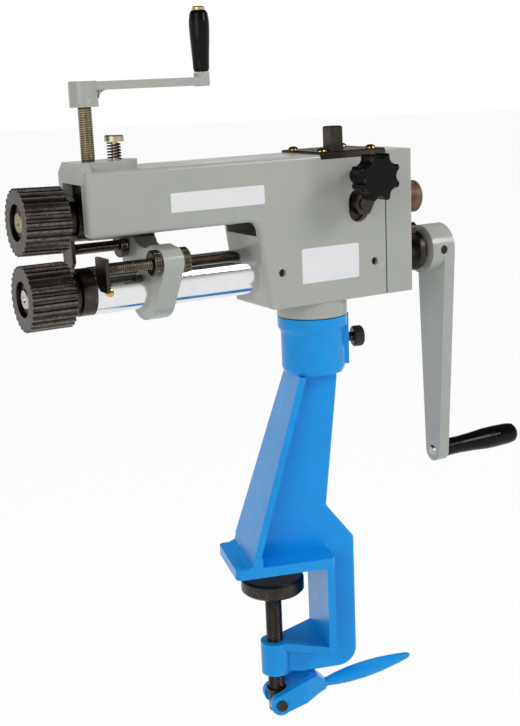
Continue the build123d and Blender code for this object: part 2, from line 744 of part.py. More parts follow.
with BuildPart() as clamp_lever:
    with BuildSketch(LEVER_SIDE):
        with BuildLine():
            Polyline(
                (-FORK_END_RADIUS * 0.4, HINGE_Z + FORK_END_RADIUS * 0.9),
                (FORK_SHOULDER_X - 4.0, FORK_TOP_Z - 1.5),
                (FORK_SHOULDER_X, FORK_TOP_Z),
                (FORK_BODY_X, FORK_TOP_Z),
                (HANDLE_ROOT_X + 1.0, HANDLE_ROOT_Z + HANDLE_NECK_RADIUS),
                (HANDLE_ROOT_X + 1.0, HANDLE_ROOT_Z - HANDLE_NECK_RADIUS),
                (FORK_BODY_X, FORK_BODY_BOTTOM_Z),
                (FORK_SHOULDER_X, FORK_BODY_BOTTOM_Z - 3.0),
                (0, HINGE_Z - FORK_END_RADIUS),
                close=True,
            )
        make_face()
        with Locations((0, HINGE_Z)):
            Circle(FORK_END_RADIUS)
    extrude(amount=FORK_HALF, both=True)
    with BuildSketch(LEVER_PLAN):
        with BuildLine():
            Polyline(
                (-FORK_END_RADIUS - 2.0, -FORK_HALF),
                (FORK_SHOULDER_X, -FORK_HALF),
                (FORK_BODY_X + 3.0, -HANDLE_RADIUS),
                (HANDLE_ROOT_X + 2.0, -HANDLE_NECK_RADIUS),
                (HANDLE_ROOT_X + 2.0, HANDLE_NECK_RADIUS),
                (FORK_BODY_X + 3.0, HANDLE_RADIUS),
                (FORK_SHOULDER_X, FORK_HALF),
                (-FORK_END_RADIUS - 2.0, FORK_HALF),
                close=True,
            )
        make_face()
    extrude(amount=FORK_TOP_Z - EYE_BOTTOM + 1.0, mode=Mode.INTERSECT)
    with BuildSketch(LEVER_PLAN):
        with Locations(((FORK_SLOT_END - FORK_END_RADIUS - 2.0) / 2 - FORK_SLOT_HALF / 2, 0)):
            Rectangle(FORK_SLOT_END - FORK_SLOT_HALF + FORK_END_RADIUS + 2.0, 2 * FORK_SLOT_HALF)
        with Locations((FORK_SLOT_END - FORK_SLOT_HALF, 0)):
            Circle(FORK_SLOT_HALF)
    extrude(amount=FORK_TOP_Z - EYE_BOTTOM + 1.0, mode=Mode.SUBTRACT)
    add(handle_shape.part)
    drill(HINGE, -FORK_HALF - 1.0, FORK_HALF + 1.0, HINGE_PIN_RADIUS + RUN_FIT)
save(clamp_lever, "clamp_lever")

# ---------------------------------------------------------------- head casting
def along(y, z):
    """Lathe plane for an axis along the head: local x is the station."""
    return Plane(origin=(SWIVEL_X, SWIVEL_Y + y, z), x_dir=(1, 0, 0), z_dir=(0, -1, 0))


with BuildPart() as head_casting:
    with BuildSketch(beside(0)) as head_side:
        with BuildLine():
            Polyline(
                (BEAM_FRONT, BEAM_BOTTOM),
                (BEAM_FRONT, HEAD_TOP),
                (SPLIT, HEAD_TOP),
                (SPLIT, HEAD_BOTTOM),
                (THROAT_FOOT_X, HEAD_BOTTOM),
                (THROAT_HEAD_X, BEAM_BOTTOM),
                close=True,
            )
        make_face()
        fillet(head_side.vertices().sort_by_distance((THROAT_HEAD_X, BEAM_BOTTOM, 0))[0], THROAT_ROUND)
    extrude(amount=HEAD_HALF, both=True)
    front_edges = head_casting.faces().sort_by(Axis.X)[0].edges().filter_by(Axis.Z)
    fillet(front_edges, FRONT_EDGE)
    roof_edges = head_casting.faces().sort_by(Axis.Z)[-1].edges().filter_by(Axis.X)
    fillet(roof_edges, TOP_EDGE)
    throat_edges = head_casting.faces().filter_by(lambda f: abs(f.normal_at().X + 0.99) < 0.02)
    fillet(throat_edges.sort_by(Axis.Z)[0].edges().filter_by(lambda e: e.length > HEAD_HALF), BODY_EDGE)
    chamfer(head_casting.faces().sort_by(Axis.X)[-1].edges(), SPLIT_BEVEL)
    with BuildSketch(level(HEAD_TOP - TOP_EDGE)):
        with Locations(((BEAM_FRONT + NOSE_PAD_REAR - NOSE_PAD_HALF) / 2, 0)):
            Rectangle(NOSE_PAD_REAR - NOSE_PAD_HALF - BEAM_FRONT, 2 * NOSE_PAD_HALF)
        with Locations((NOSE_PAD_REAR - NOSE_PAD_HALF, 0)):
            Circle(NOSE_PAD_HALF)
    extrude(amount=NOSE_PAD_TOP - HEAD_TOP + TOP_EDGE)
    with BuildSketch(across(BEAM_FRONT)):
        with BuildLine():
            Polyline(
                (-NOSE_PAD_HALF, NOSE_PAD_TOP),
                (NOSE_PAD_HALF, NOSE_PAD_TOP),
                (HEAD_HALF - FRONT_EDGE, HEAD_TOP - 1.0),
                (HEAD_HALF - FRONT_EDGE, CEILING),
                (-HEAD_HALF + FRONT_EDGE, CEILING),
                (-HEAD_HALF + FRONT_EDGE, HEAD_TOP - 1.0),
                close=True,
            )
        make_face()
    extrude(amount=BEAM_NOSE_WALL)
    with BuildSketch(level(NECK_FOOT)):
        Circle(NECK_RADIUS)
    extrude(amount=HEAD_BOTTOM - NECK_FOOT)
    with BuildSketch(level(SOCKET_FLOOR + SPIGOT_LIFT)):
        Circle(SPIGOT_RADIUS)
    extrude(amount=NECK_FOOT - SOCKET_FLOOR)
    channel = brick(BEAM_FRONT + BEAM_NOSE_WALL, SPLIT + 1, -CHANNEL_HALF, CHANNEL_HALF, SILL, CEILING)
    add(channel.part, mode=Mode.SUBTRACT)
    window = brick(BEAM_FRONT - 1, BEAM_FRONT + WINDOW_CUT, -WINDOW_HALF, WINDOW_HALF, SILL, CEILING)
    add(window.part, mode=Mode.SUBTRACT)
    cavity = brick(CAVITY_FRONT, WEB_FRONT, -CHANNEL_HALF, CHANNEL_HALF, CAVITY_FLOOR, SILL + 1)
    add(cavity.part, mode=Mode.SUBTRACT)
    notch = brick(PLATE_FRONT, SPLIT + 1, -HEAD_HALF - 1, HEAD_HALF + 1, PLATE_SEAT, HEAD_TOP + 1)
    add(notch.part, mode=Mode.SUBTRACT)
    hatch = brick(HATCH_FRONT, HATCH_REAR, -HATCH_HALF, HATCH_HALF, CEILING - 1, PLATE_SEAT + 1)
    add(hatch.part, mode=Mode.SUBTRACT)
    drill(AXLE, THROAT_HEAD_X - 5, SPLIT + 1, TUBE_RADIUS + SNUG)
    with BuildSketch(beside(0)):
        with Locations((PORT_X, PORT_Z)):
            SlotOverall(PORT_HEIGHT, PORT_WIDTH, rotation=90)
    extrude(amount=HEAD_HALF + 1, both=True, mode=Mode.SUBTRACT)
    screw_hole = rod(upright(SCREW_X), CEILING - 1, NOSE_PAD_TOP + 1, SCREW_RADIUS + RUN_FIT)
    add(screw_hole.part, mode=Mode.SUBTRACT)
    with BuildSketch(level(CEILING - 1)):
        with Locations((LIFT_HOLE_X, 0)):
            SlotOverall(2 * (LIFT_RADIUS + LIFT_SLOT_PLAY), 2 * (LIFT_RADIUS + 0.5))
    extrude(amount=NOSE_PAD_TOP - CEILING + 2, mode=Mode.SUBTRACT)
    star_hole = rod(sideways(STAR_X, STAR_Z), -HEAD_HALF - 1, -CHANNEL_HALF + 1, STAR_STUD_RADIUS + RUN_FIT)
    add(star_hole.part, mode=Mode.SUBTRACT)
    for hole_x in (TUBE_SCREW_FRONT_X, TUBE_SCREW_REAR_X):
        side_hole = rod(sideways(hole_x, LOWER_Z), -HEAD_HALF - 1, -TUBE_RADIUS + 1, TUBE_SCREW_HOLE)
        add(side_hole.part, mode=Mode.SUBTRACT)
    for side in (-1, 1):
        cap_hole = rod(
            along(side * CAP_SCREW_Y, CAP_SCREW_Z),
            SPLIT - CAP_SCREW_DEPTH - 1,
            SPLIT + 1,
            CAP_SCREW_RADIUS + SNUG,
        )
        add(cap_hole.part, mode=Mode.SUBTRACT)
    with BuildSketch(level(CEILING - 1)):
        with Locations((COVER_SCREW_MID, 0)):
            with GridLocations(COVER_SCREW_LONG, COVER_SCREW_WIDE, 2, 2):
                Circle(COVER_SCREW_RADIUS + SNUG)
    extrude(amount=PLATE_SEAT - CEILING + 2, mode=Mode.SUBTRACT)
save(head_casting, "head_casting")

with BuildPart() as tube_lock_screws:
    for hole_x in (TUBE_SCREW_FRONT_X, TUBE_SCREW_REAR_X):
        grub = rod(sideways(hole_x, LOWER_Z), -TUBE_SCREW_OUTER, -TUBE_RADIUS - RUN_FIT, TUBE_SCREW_RADIUS)
        add(grub.part)
save(tube_lock_screws, "tube_lock_screws")

# ---------------------------------------------------------------- rear cover
with BuildPart() as rear_cover:
    add(brick(SPLIT, HEAD_REAR, -HEAD_HALF, HEAD_HALF, HEAD_BOTTOM, HEAD_TOP).part)
    rear_edges = rear_cover.faces().sort_by(Axis.X)[-1].edges()
    fillet(rear_edges, TOP_EDGE - 1)
    chamfer(rear_cover.faces().sort_by(Axis.X)[0].edges(), SPLIT_BEVEL)
    inner = brick(
        SPLIT - 1,
        HEAD_REAR - COVER_BACK,
        -HEAD_HALF + COVER_SIDE,
        HEAD_HALF - COVER_SIDE,
        HEAD_BOTTOM + COVER_FLOOR,
        HEAD_TOP - COVER_ROOF,
    )
    add(inner.part, mode=Mode.SUBTRACT)
    for side in (-1, 1):
        seat = along(side * CAP_SCREW_Y, CAP_SCREW_Z)
        add(rod(seat, SPLIT, HEAD_REAR - 1, CAP_BOSS_RADIUS).part)
        drill(seat, SPLIT - 1, HEAD_REAR + 1, CAP_SCREW_RADIUS + SNUG)
    drill(AXLE, HEAD_REAR - COVER_BACK - 1, HEAD_REAR + 1, COVER_BUSH_RADIUS + SNUG)
    drill(along(0, PIVOT_Z - TAIL_HOLE_DROP), HEAD_REAR - COVER_BACK - 1, HEAD_REAR + 1, TAIL_HOLE_RADIUS)
save(rear_cover, "rear_cover")

with BuildPart() as rear_cover_screws:
    for side in (-1, 1):
        seat = along(side * CAP_SCREW_Y, CAP_SCREW_Z)
        cap = lathe(
            seat,
            (SPLIT - CAP_SCREW_DEPTH, 0),
            (SPLIT - CAP_SCREW_DEPTH, CAP_SCREW_RADIUS),
            (HEAD_REAR, CAP_SCREW_RADIUS),
            (HEAD_REAR, CAP_HEAD_RADIUS),
            (HEAD_REAR + CAP_HEAD - 0.6, CAP_HEAD_RADIUS),
            (HEAD_REAR + CAP_HEAD, CAP_HEAD_RADIUS - 0.6),
            (HEAD_REAR + CAP_HEAD, 0),
        )
        add(cap.part)
        socket_seat = Plane(
            origin=(SWIVEL_X + HEAD_REAR + CAP_HEAD, SWIVEL_Y + side * CAP_SCREW_Y, CAP_SCREW_Z),
            x_dir=(0, 1, 0),
            z_dir=(-1, 0, 0),
        )
        add(hexagon(socket_seat, 2 * CAP_SOCKET, CAP_SOCKET, 0.01).part, mode=Mode.SUBTRACT)
save(rear_cover_screws, "rear_cover_screws")

with BuildPart() as top_cover_plate:
    add(brick(PLATE_FRONT, SPLIT, -HEAD_HALF, HEAD_HALF, PLATE_SEAT, PLATE_SEAT + PLATE_THICK).part)
    chamfer(top_cover_plate.faces().sort_by(Axis.Z)[-1].edges(), PLATE_EDGE)
    with BuildSketch(level(PLATE_SEAT - 1)):
        with Locations((POST_X, 0)):
            Circle(POST_RADIUS + RUN_FIT)
        with Locations((COVER_SCREW_MID, 0)):
            with GridLocations(COVER_SCREW_LONG, COVER_SCREW_WIDE, 2, 2):
                Circle(COVER_SCREW_RADIUS + SNUG)
    extrude(amount=PLATE_THICK + 2, mode=Mode.SUBTRACT)
save(top_cover_plate, "top_cover_plate")

PLATE_TOP = PLATE_SEAT + PLATE_THICK
with BuildPart() as top_cover_screws:
    for end in (-1, 1):
        for side in (-1, 1):
            screw_spot = upright(COVER_SCREW_MID + end * COVER_SCREW_LONG / 2, side * COVER_SCREW_WIDE / 2)
            pan = lathe(
                screw_spot,
                (CEILING + COVER_SCREW_TIP, 0),
                (CEILING + COVER_SCREW_TIP, COVER_SCREW_RADIUS),
                (PLATE_TOP, COVER_SCREW_RADIUS),
                (PLATE_TOP, COVER_SCREW_HEAD),
                (PLATE_TOP + COVER_SCREW_CROWN * 0.53, COVER_SCREW_HEAD - 0.2),
                (PLATE_TOP + COVER_SCREW_CROWN, COVER_SCREW_CROWN),
                (PLATE_TOP + COVER_SCREW_CROWN, 0),
            )
            add(pan.part)
save(top_cover_screws, "top_cover_screws")

# ---------------------------------------------------------------- rear bearing and its adjuster
with BuildPart() as adjuster_post:
    with BuildSketch(level(PLATE_SEAT + PLATE_THICK + GAP)):
        with Locations((POST_X, 0)):
            Rectangle(POST_SQUARE, POST_SQUARE)
    extrude(amount=POST_TOP - PLATE_SEAT - PLATE_THICK - GAP)
    chamfer(adjuster_post.faces().sort_by(Axis.Z)[-1].edges(), 1.0)
    add(rod(upright(POST_X), PLATE_SEAT - GAP, PLATE_SEAT + PLATE_THICK + GAP + 0.5, POST_RADIUS).part)
    add(rod(upright(POST_X), POST_FLANGE_BOTTOM, PLATE_SEAT - GAP, POST_FLANGE_RADIUS).part)
    add(rod(upright(POST_X, POST_ECCENTRIC), POST_PIN_BOTTOM, POST_FLANGE_BOTTOM, POST_PIN_RADIUS).part)
save(adjuster_post, "adjuster_post")

with BuildPart() as rear_yoke:
    add(brick(YOKE_FRONT, YOKE_REAR, -YOKE_CHEEK_OUT, YOKE_CHEEK_OUT, YOKE_BOTTOM, YOKE_TOP).part)
    between = brick(
        YOKE_FRONT - 1,
        YOKE_REAR + 1,
        -YOKE_CHEEK_IN,
        YOKE_CHEEK_IN,
        YOKE_BOTTOM - 1,
        YOKE_BRIDGE,
    )
    add(between.part, mode=Mode.SUBTRACT)
    slot = brick(
        POST_X - POST_PIN_RADIUS - SLOT_PLAY,
        POST_X + POST_PIN_RADIUS + SLOT_PLAY,
        -SLOT_LENGTH / 2,
        SLOT_LENGTH / 2,
        YOKE_BRIDGE - 1,
        YOKE_TOP + 1,
    )
    add(slot.part, mode=Mode.SUBTRACT)
    stud_hole = rod(sideways(PIVOT_X, PIVOT_Z), -HEAD_HALF, HEAD_HALF, PIVOT_STUD_RADIUS + SNUG)
    add(stud_hole.part, mode=Mode.SUBTRACT)
save(rear_yoke, "rear_yoke")

with BuildPart() as pivot_screws:
    for side in (-1, 1):
        stud = lathe(
            sideways(PIVOT_X, PIVOT_Z),
            (side * PIVOT_NOSE_END, 0),
            (side * PIVOT_NOSE_END, PIVOT_NOSE_RADIUS),
            (side * YOKE_CHEEK_IN, PIVOT_NOSE_RADIUS),
            (side * YOKE_CHEEK_IN, PIVOT_STUD_RADIUS),
            (side * PIVOT_STUD_END, PIVOT_STUD_RADIUS),
            (side * PIVOT_STUD_END, 0),
        )
        add(stud.part)
save(pivot_screws, "pivot_screws")

with BuildPart() as pivot_nuts:
    for side in (-1, 1):
        nut_seat = Plane(
            origin=(SWIVEL_X + PIVOT_X, SWIVEL_Y + side * PIVOT_NUT_IN, PIVOT_Z),
            x_dir=(1, 0, 0),
            z_dir=(0, side, 0),
        )
        add(hexagon(nut_seat, PIVOT_NUT_FLATS, PIVOT_NUT_THICK, PIVOT_STUD_RADIUS + SNUG).part)
save(pivot_nuts, "pivot_nuts")

with BuildPart() as rear_bearing_block:
    with BuildSketch(SPINDLE):
        Rectangle(2 * BLOCK_HALF_LENGTH, 2 * BLOCK_HALF_HEIGHT)
    extrude(amount=BLOCK_HALF_WIDTH, both=True)
    drill(SPINDLE, -BLOCK_HALF_LENGTH - 1, BLOCK_HALF_LENGTH + 1, BUSH_RADIUS + SNUG)
    for side in (-1, 1):
        nose_hole = rod(
            sideways(PIVOT_X, PIVOT_Z),
            side * (BUSH_RADIUS - 1),
            side * (BLOCK_HALF_WIDTH + 1),
            PIVOT_NOSE_RADIUS + RUN_FIT,
        )
        add(nose_hole.part, mode=Mode.SUBTRACT)
save(rear_bearing_block, "rear_bearing_block")

rear_bush = rod(SPINDLE, -BLOCK_HALF_LENGTH, BLOCK_HALF_LENGTH, BUSH_RADIUS, REAR_JOURNAL_RADIUS + RUN_FIT)
save(rear_bush, "rear_bush")

# ---------------------------------------------------------------- front bearing block
with BuildPart() as front_bearing_block:
    with BuildSketch(spindle_across(FRONT_BLOCK_FACE)):
        with BuildLine():
            Polyline(
                (-FRONT_BLOCK_NECK, FRONT_BLOCK_WAIST),
                (-FRONT_BLOCK_HALF, FRONT_BLOCK_WAIST),
                (-FRONT_BLOCK_HALF, FRONT_BLOCK_ROUND),
                (FRONT_BLOCK_HALF, FRONT_BLOCK_ROUND),
                (FRONT_BLOCK_HALF, FRONT_BLOCK_WAIST),
                (FRONT_BLOCK_NECK, FRONT_BLOCK_WAIST),
            )
            ThreePointArc(
                (FRONT_BLOCK_NECK, FRONT_BLOCK_WAIST),
                (0, -FRONT_BLOCK_ROUND),
                (-FRONT_BLOCK_NECK, FRONT_BLOCK_WAIST),
            )
        make_face()
    extrude(amount=FRONT_BLOCK_REAR - FRONT_BLOCK_FACE)
    with BuildSketch(spindle_across(FRONT_NOSE_FACE)):
        Circle(FRONT_NOSE_RADIUS)
    extrude(amount=FRONT_BLOCK_FACE - FRONT_NOSE_FACE)
    bush_hole = rod(
        SPINDLE,
        FRONT_NOSE_FACE - PIVOT_X - 1,
        FRONT_BLOCK_REAR - PIVOT_X + 1,
        BUSH_RADIUS + SNUG,
    )
    add(bush_hole.part, mode=Mode.SUBTRACT)
LIFT_LEAN = Plane(
    origin=SPINDLE.from_local_coords(Vector(LIFT_X - PIVOT_X, 0, 0)),
    x_dir=SPINDLE.y_dir,
    z_dir=(0, -1, 0),
)
LIFT_AXIS_Z = LIFT_LEAN.origin.Z
with BuildPart() as front_block_drilled:
    add(front_bearing_block.part)
    add(
        rod(LIFT_LEAN, BUSH_RADIUS - 1, FRONT_BLOCK_ROUND + 1, LIFT_RADIUS + SNUG).part,
        mode=Mode.SUBTRACT,
    )
save(front_block_drilled, "front_bearing_block")

front_bush = rod(
    SPINDLE,
    FRONT_NOSE_FACE - PIVOT_X,
    FRONT_BLOCK_REAR - PIVOT_X,
    BUSH_RADIUS,
    JOURNAL_RADIUS + RUN_FIT,
)
save(front_bush, "front_bush")

lift_bolt = lathe(
    LIFT_LEAN,
    (BUSH_RADIUS + RUN_FIT, 0),
    (BUSH_RADIUS + RUN_FIT, LIFT_RADIUS),
    (LIFT_HEAD_BOTTOM - LIFT_AXIS_Z, LIFT_RADIUS),
    (LIFT_HEAD_BOTTOM - LIFT_AXIS_Z, LIFT_HEAD_RADIUS),
    (LIFT_HEAD_TOP - LIFT_AXIS_Z - 0.8, LIFT_HEAD_RADIUS),
    (LIFT_HEAD_TOP - LIFT_AXIS_Z, LIFT_HEAD_RADIUS - 0.8),
    (LIFT_HEAD_TOP - LIFT_AXIS_Z, 0),
)
save(lift_bolt, "lift_bolt")

# ---------------------------------------------------------------- lift spring
SPRING_FOOT = NOSE_PAD_TOP + SPRING_SEAT
SPRING_RISE = LIFT_HEAD_BOTTOM - GAP - SPRING_FOOT - 2 * WIRE_RADIUS
COIL_RISE = SPRING_RISE / SPRING_TURNS
spring_axis = Vector(SWIVEL_X + LIFT_HOLE_X, SWIVEL_Y, SPRING_FOOT + WIRE_RADIUS)
coil = Edge.make_helix(pitch=COIL_RISE, height=SPRING_RISE, radius=SPRING_RADIUS)
coil_path = coil.moved(Location(spring_axis))
with BuildPart() as lift_spring:
    with BuildSketch(Plane(origin=coil_path @ 0, z_dir=coil_path % 0)):
        Circle(WIRE_RADIUS)
    sweep(path=Wire([coil_path]), is_frenet=True)
    for place, way in ((0, -1), (1, 1)):
        with BuildSketch(Plane(origin=coil_path @ place, z_dir=(coil_path % place) * way)):
            Circle(WIRE_RADIUS)
        extrude(amount=2 * WIRE_RADIUS)
wire_points = [coil_path @ (n / SPRING_SAMPLES) for n in range(SPRING_SAMPLES + 1)]
one_turn = round(SPRING_SAMPLES / SPRING_TURNS)
wire_gap = min(
    (wire_points[n] - wire_points[m]).length
    for n in range(SPRING_SAMPLES + 1)
    for m in range(n + one_turn // 2, SPRING_SAMPLES + 1)
)
print("lift_spring least gap to itself, mm:", round(wire_gap - 2 * WIRE_RADIUS, 2))
save(lift_spring, "lift_spring")

# ---------------------------------------------------------------- upper spindle
S_ROLL_FRONT = ROLL_FRONT - PIVOT_X
S_ROLL_BACK = ROLL_BACK - PIVOT_X
S_SINK = S_ROLL_FRONT + ROLL_SINK_DEPTH
S_SPACER_END = UPPER_SPACER_END - PIVOT_X
S_GEAR = GEAR_FRONT - PIVOT_X
S_GEAR_END = S_GEAR + GEAR_WIDTH
upper_turned = lathe(
    SPINDLE,
    (S_ROLL_FRONT + THREAD_END_INSET, 0),
    (S_ROLL_FRONT + THREAD_END_INSET, THREAD_END_RADIUS - 1.0),
    (S_ROLL_FRONT + THREAD_END_INSET + 1.0, THREAD_END_RADIUS),
    (S_SINK, THREAD_END_RADIUS),
    (S_SINK, SEAT_RADIUS),
    (S_SPACER_END, SEAT_RADIUS),
    (S_SPACER_END, JOURNAL_RADIUS),
    (-UPPER_BODY_END, JOURNAL_RADIUS),
    (-UPPER_BODY_END, REAR_JOURNAL_RADIUS),
    (UPPER_BODY_END, REAR_JOURNAL_RADIUS),
    (S_GEAR - 2.0, REAR_JOURNAL_RADIUS),
    (S_GEAR - 2.0, UPPER_GEAR_SEAT),
    (S_GEAR_END, UPPER_GEAR_SEAT),
    (S_GEAR_END, UPPER_TAIL_RADIUS),
    (UPPER_TAIL_END - PIVOT_X - 1.0, UPPER_TAIL_RADIUS),
    (UPPER_TAIL_END - PIVOT_X, UPPER_TAIL_RADIUS - 1.0),
    (UPPER_TAIL_END - PIVOT_X, 0),
)


def centre_hole(plane, face, way):
    """Lathe centre in a shaft's end face, opening towards the end."""
    return lathe(
        plane,
        (face - way, 0),
        (face - way, CENTRE_RADIUS + CENTRE_SLOPE),
        (face + way * CENTRE_DEPTH, CENTRE_RADIUS - CENTRE_SLOPE * CENTRE_DEPTH),
        (face + way * CENTRE_DEPTH, 0),
    )


def key_block(plane, start, seat_radius, play):
    """Square key standing half in a shaft's seat, on the side of local +y."""
    with BuildPart() as block:
        with BuildSketch(plane):
            with Locations((start + KEY_LENGTH / 2, seat_radius)):
                Rectangle(KEY_LENGTH + 2 * play, KEY_SIDE + 2 * play)
        extrude(amount=KEY_SIDE / 2 + play, both=True)
    return block


with BuildPart() as upper_shaft:
    add(upper_turned.part)
    add(centre_hole(SPINDLE, S_ROLL_FRONT + THREAD_END_INSET, 1).part, mode=Mode.SUBTRACT)
    add(key_block(SPINDLE, S_GEAR + 1.0, UPPER_GEAR_SEAT, SNUG).part, mode=Mode.SUBTRACT)
save(upper_shaft, "upper_shaft")

upper_gear_key = key_block(SPINDLE, S_GEAR + 1.0, UPPER_GEAR_SEAT, 0.0)
save(upper_gear_key, "upper_gear_key")

upper_spacer = lathe(
    SPINDLE,
    (S_ROLL_BACK, SEAT_RADIUS + SNUG),
    (S_ROLL_BACK, SHOULDER_RADIUS),
    (S_SPACER_END - 1.0, SHOULDER_RADIUS),
    (S_SPACER_END, SHOULDER_RADIUS - 1.0),
    (S_SPACER_END, SEAT_RADIUS + SNUG),
)
save(upper_spacer, "upper_spacer")


def fluted_roll(plane, turn):
    """Crimping roll with straight flutes and a sunk nut seat, on a plane at its front face."""
    step = 2 * pi / FLUTES
    outline = []
    for n in range(FLUTES):
        middle = (n + turn) * step
        crest = step * CREST_SHARE / 2
        root = step * (1 - ROOT_SHARE) / 2
        for radius, angle in (
            (ROLL_RADIUS - FLUTE_DEPTH, middle - root),
            (ROLL_RADIUS, middle - crest),
            (ROLL_RADIUS, middle + crest),
            (ROLL_RADIUS - FLUTE_DEPTH, middle + root),
        ):
            outline.append((radius * cos(angle), radius * sin(angle)))
    with BuildPart() as roll:
        with BuildSketch(plane):
            with BuildLine():
                Polyline(*outline, close=True)
            make_face()
            Circle(SEAT_RADIUS + SNUG, mode=Mode.SUBTRACT)
        extrude(amount=ROLL_LENGTH)
        with BuildSketch(plane):
            Circle(ROLL_SINK_RADIUS)
        extrude(amount=ROLL_SINK_DEPTH, mode=Mode.SUBTRACT)
    return roll


upper_roll = fluted_roll(spindle_across(ROLL_FRONT), 0.0)
save(upper_roll, "upper_roll")
upper_nut_seat = spindle_across(ROLL_FRONT + ROLL_SINK_DEPTH - NUT_THICK - RUN_FIT)
upper_roll_nut = hexagon(upper_nut_seat, NUT_FLATS, NUT_THICK, THREAD_END_RADIUS + SNUG)
save(upper_roll_nut, "upper_roll_nut")


def long_tooth_gear(plane, seat_radius, turn):
    """Spur gear with long teeth, so that the shafts may part a little."""
    step = 2 * pi / GEAR_TEETH
    outline = []
    for n in range(GEAR_TEETH):
        middle = (n + turn) * step + pi / 2
        for radius, width in (
            (GEAR_ROOT, -TOOTH_ROOT_WIDTH),
            (GEAR_PITCH, -TOOTH_PITCH_WIDTH),
            (GEAR_TIP, -TOOTH_TIP_WIDTH),
            (GEAR_TIP, TOOTH_TIP_WIDTH),
            (GEAR_PITCH, TOOTH_PITCH_WIDTH),
            (GEAR_ROOT, TOOTH_ROOT_WIDTH),
        ):
            angle = middle + width / 2 / radius
            outline.append((radius * cos(angle), radius * sin(angle)))
    with BuildPart() as gear:
        with BuildSketch(plane):
            with BuildLine():
                Polyline(*outline, close=True)
            make_face()
            Circle(seat_radius + SNUG, mode=Mode.SUBTRACT)
        extrude(amount=GEAR_WIDTH)
    return gear


with BuildPart() as upper_gear:
    add(long_tooth_gear(spindle_across(GEAR_FRONT), UPPER_GEAR_SEAT, 0.5).part)
    add(key_block(SPINDLE, S_GEAR + 1.0, UPPER_GEAR_SEAT, SNUG).part, mode=Mode.SUBTRACT)
save(upper_gear, "upper_gear")

# ---------------------------------------------------------------- lower spindle
lower_turned = lathe(
    AXLE,
    (ROLL_FRONT + THREAD_END_INSET, 0),
    (ROLL_FRONT + THREAD_END_INSET, THREAD_END_RADIUS - 1.0),
    (ROLL_FRONT + THREAD_END_INSET + 1.0, THREAD_END_RADIUS),
    (ROLL_FRONT + ROLL_SINK_DEPTH, THREAD_END_RADIUS),
    (ROLL_FRONT + ROLL_SINK_DEPTH, SEAT_RADIUS),
    (ROLL_BACK, SEAT_RADIUS),
    (ROLL_BACK, SHOULDER_RADIUS),
    (LOWER_SHOULDER_END, SHOULDER_RADIUS),
    (LOWER_SHOULDER_END, JOURNAL_RADIUS),
    (GEAR_FRONT, JOURNAL_RADIUS),
    (GEAR_FRONT, SEAT_RADIUS),
    (LOWER_TAIL_FRONT, SEAT_RADIUS),
    (LOWER_TAIL_FRONT, LOWER_TAIL_RADIUS),
    (LOWER_TAIL_END - 1.0, LOWER_TAIL_RADIUS),
    (LOWER_TAIL_END, LOWER_TAIL_RADIUS - 1.0),
    (LOWER_TAIL_END, 0),
)
with BuildPart() as lower_shaft:
    add(lower_turned.part)
    add(centre_hole(AXLE, ROLL_FRONT + THREAD_END_INSET, 1).part, mode=Mode.SUBTRACT)
    add(centre_hole(AXLE, LOWER_TAIL_END, -1).part, mode=Mode.SUBTRACT)
    add(key_block(AXLE, GEAR_FRONT + 1.0, SEAT_RADIUS, SNUG).part, mode=Mode.SUBTRACT)
save(lower_shaft, "lower_shaft")

lower_gear_key = key_block(AXLE, GEAR_FRONT + 1.0, SEAT_RADIUS, 0.0)
save(lower_gear_key, "lower_gear_key")

with BuildPart() as lower_gear:
    add(long_tooth_gear(axle_across(GEAR_FRONT), SEAT_RADIUS, 0.0).part)
    add(key_block(AXLE, GEAR_FRONT + 1.0, SEAT_RADIUS, SNUG).part, mode=Mode.SUBTRACT)
save(lower_gear, "lower_gear")

lower_roll = fluted_roll(axle_across(ROLL_FRONT), 0.5)
save(lower_roll, "lower_roll")
lower_nut_seat = axle_across(ROLL_FRONT + ROLL_SINK_DEPTH - NUT_THICK - RUN_FIT)
lower_roll_nut = hexagon(lower_nut_seat, NUT_FLATS, NUT_THICK, THREAD_END_RADIUS + SNUG)
save(lower_roll_nut, "lower_roll_nut")

# ---------------------------------------------------------------- lower tube and bushes
lower_tube = rod(AXLE, TUBE_FRONT, TUBE_REAR, TUBE_RADIUS, TUBE_BORE)
oiler_hole = rod(sideways(OILER_X, LOWER_Z), -TUBE_RADIUS - 1, -JOURNAL_RADIUS - 1, OILER_RADIUS / 2 + SNUG)
with BuildPart() as tube_drilled:
    add(lower_tube.part)
    add(oiler_hole.part, mode=Mode.SUBTRACT)
save(tube_drilled, "lower_tube")

bush_turned = lathe(
    AXLE,
    (FRONT_BUSH_FACE, JOURNAL_RADIUS + RUN_FIT),
    (FRONT_BUSH_FACE, FRONT_BUSH_RADIUS),
    (FRONT_BUSH_STEP, FRONT_BUSH_RADIUS),
    (FRONT_BUSH_STEP + 1.0, FRONT_COLLAR_RADIUS),
    (TUBE_FRONT, FRONT_COLLAR_RADIUS),
    (TUBE_FRONT, TUBE_BORE - SNUG),
    (FRONT_BUSH_REAR, TUBE_BORE - SNUG),
    (FRONT_BUSH_REAR, JOURNAL_RADIUS + RUN_FIT),
)
with BuildPart() as lower_front_bush:
    add(bush_turned.part)
    add(oiler_hole.part, mode=Mode.SUBTRACT)
save(lower_front_bush, "lower_front_bush")

lower_rear_bush = rod(AXLE, REAR_BUSH_FRONT, TUBE_REAR, TUBE_BORE - SNUG, JOURNAL_RADIUS + RUN_FIT)
save(lower_rear_bush, "lower_rear_bush")

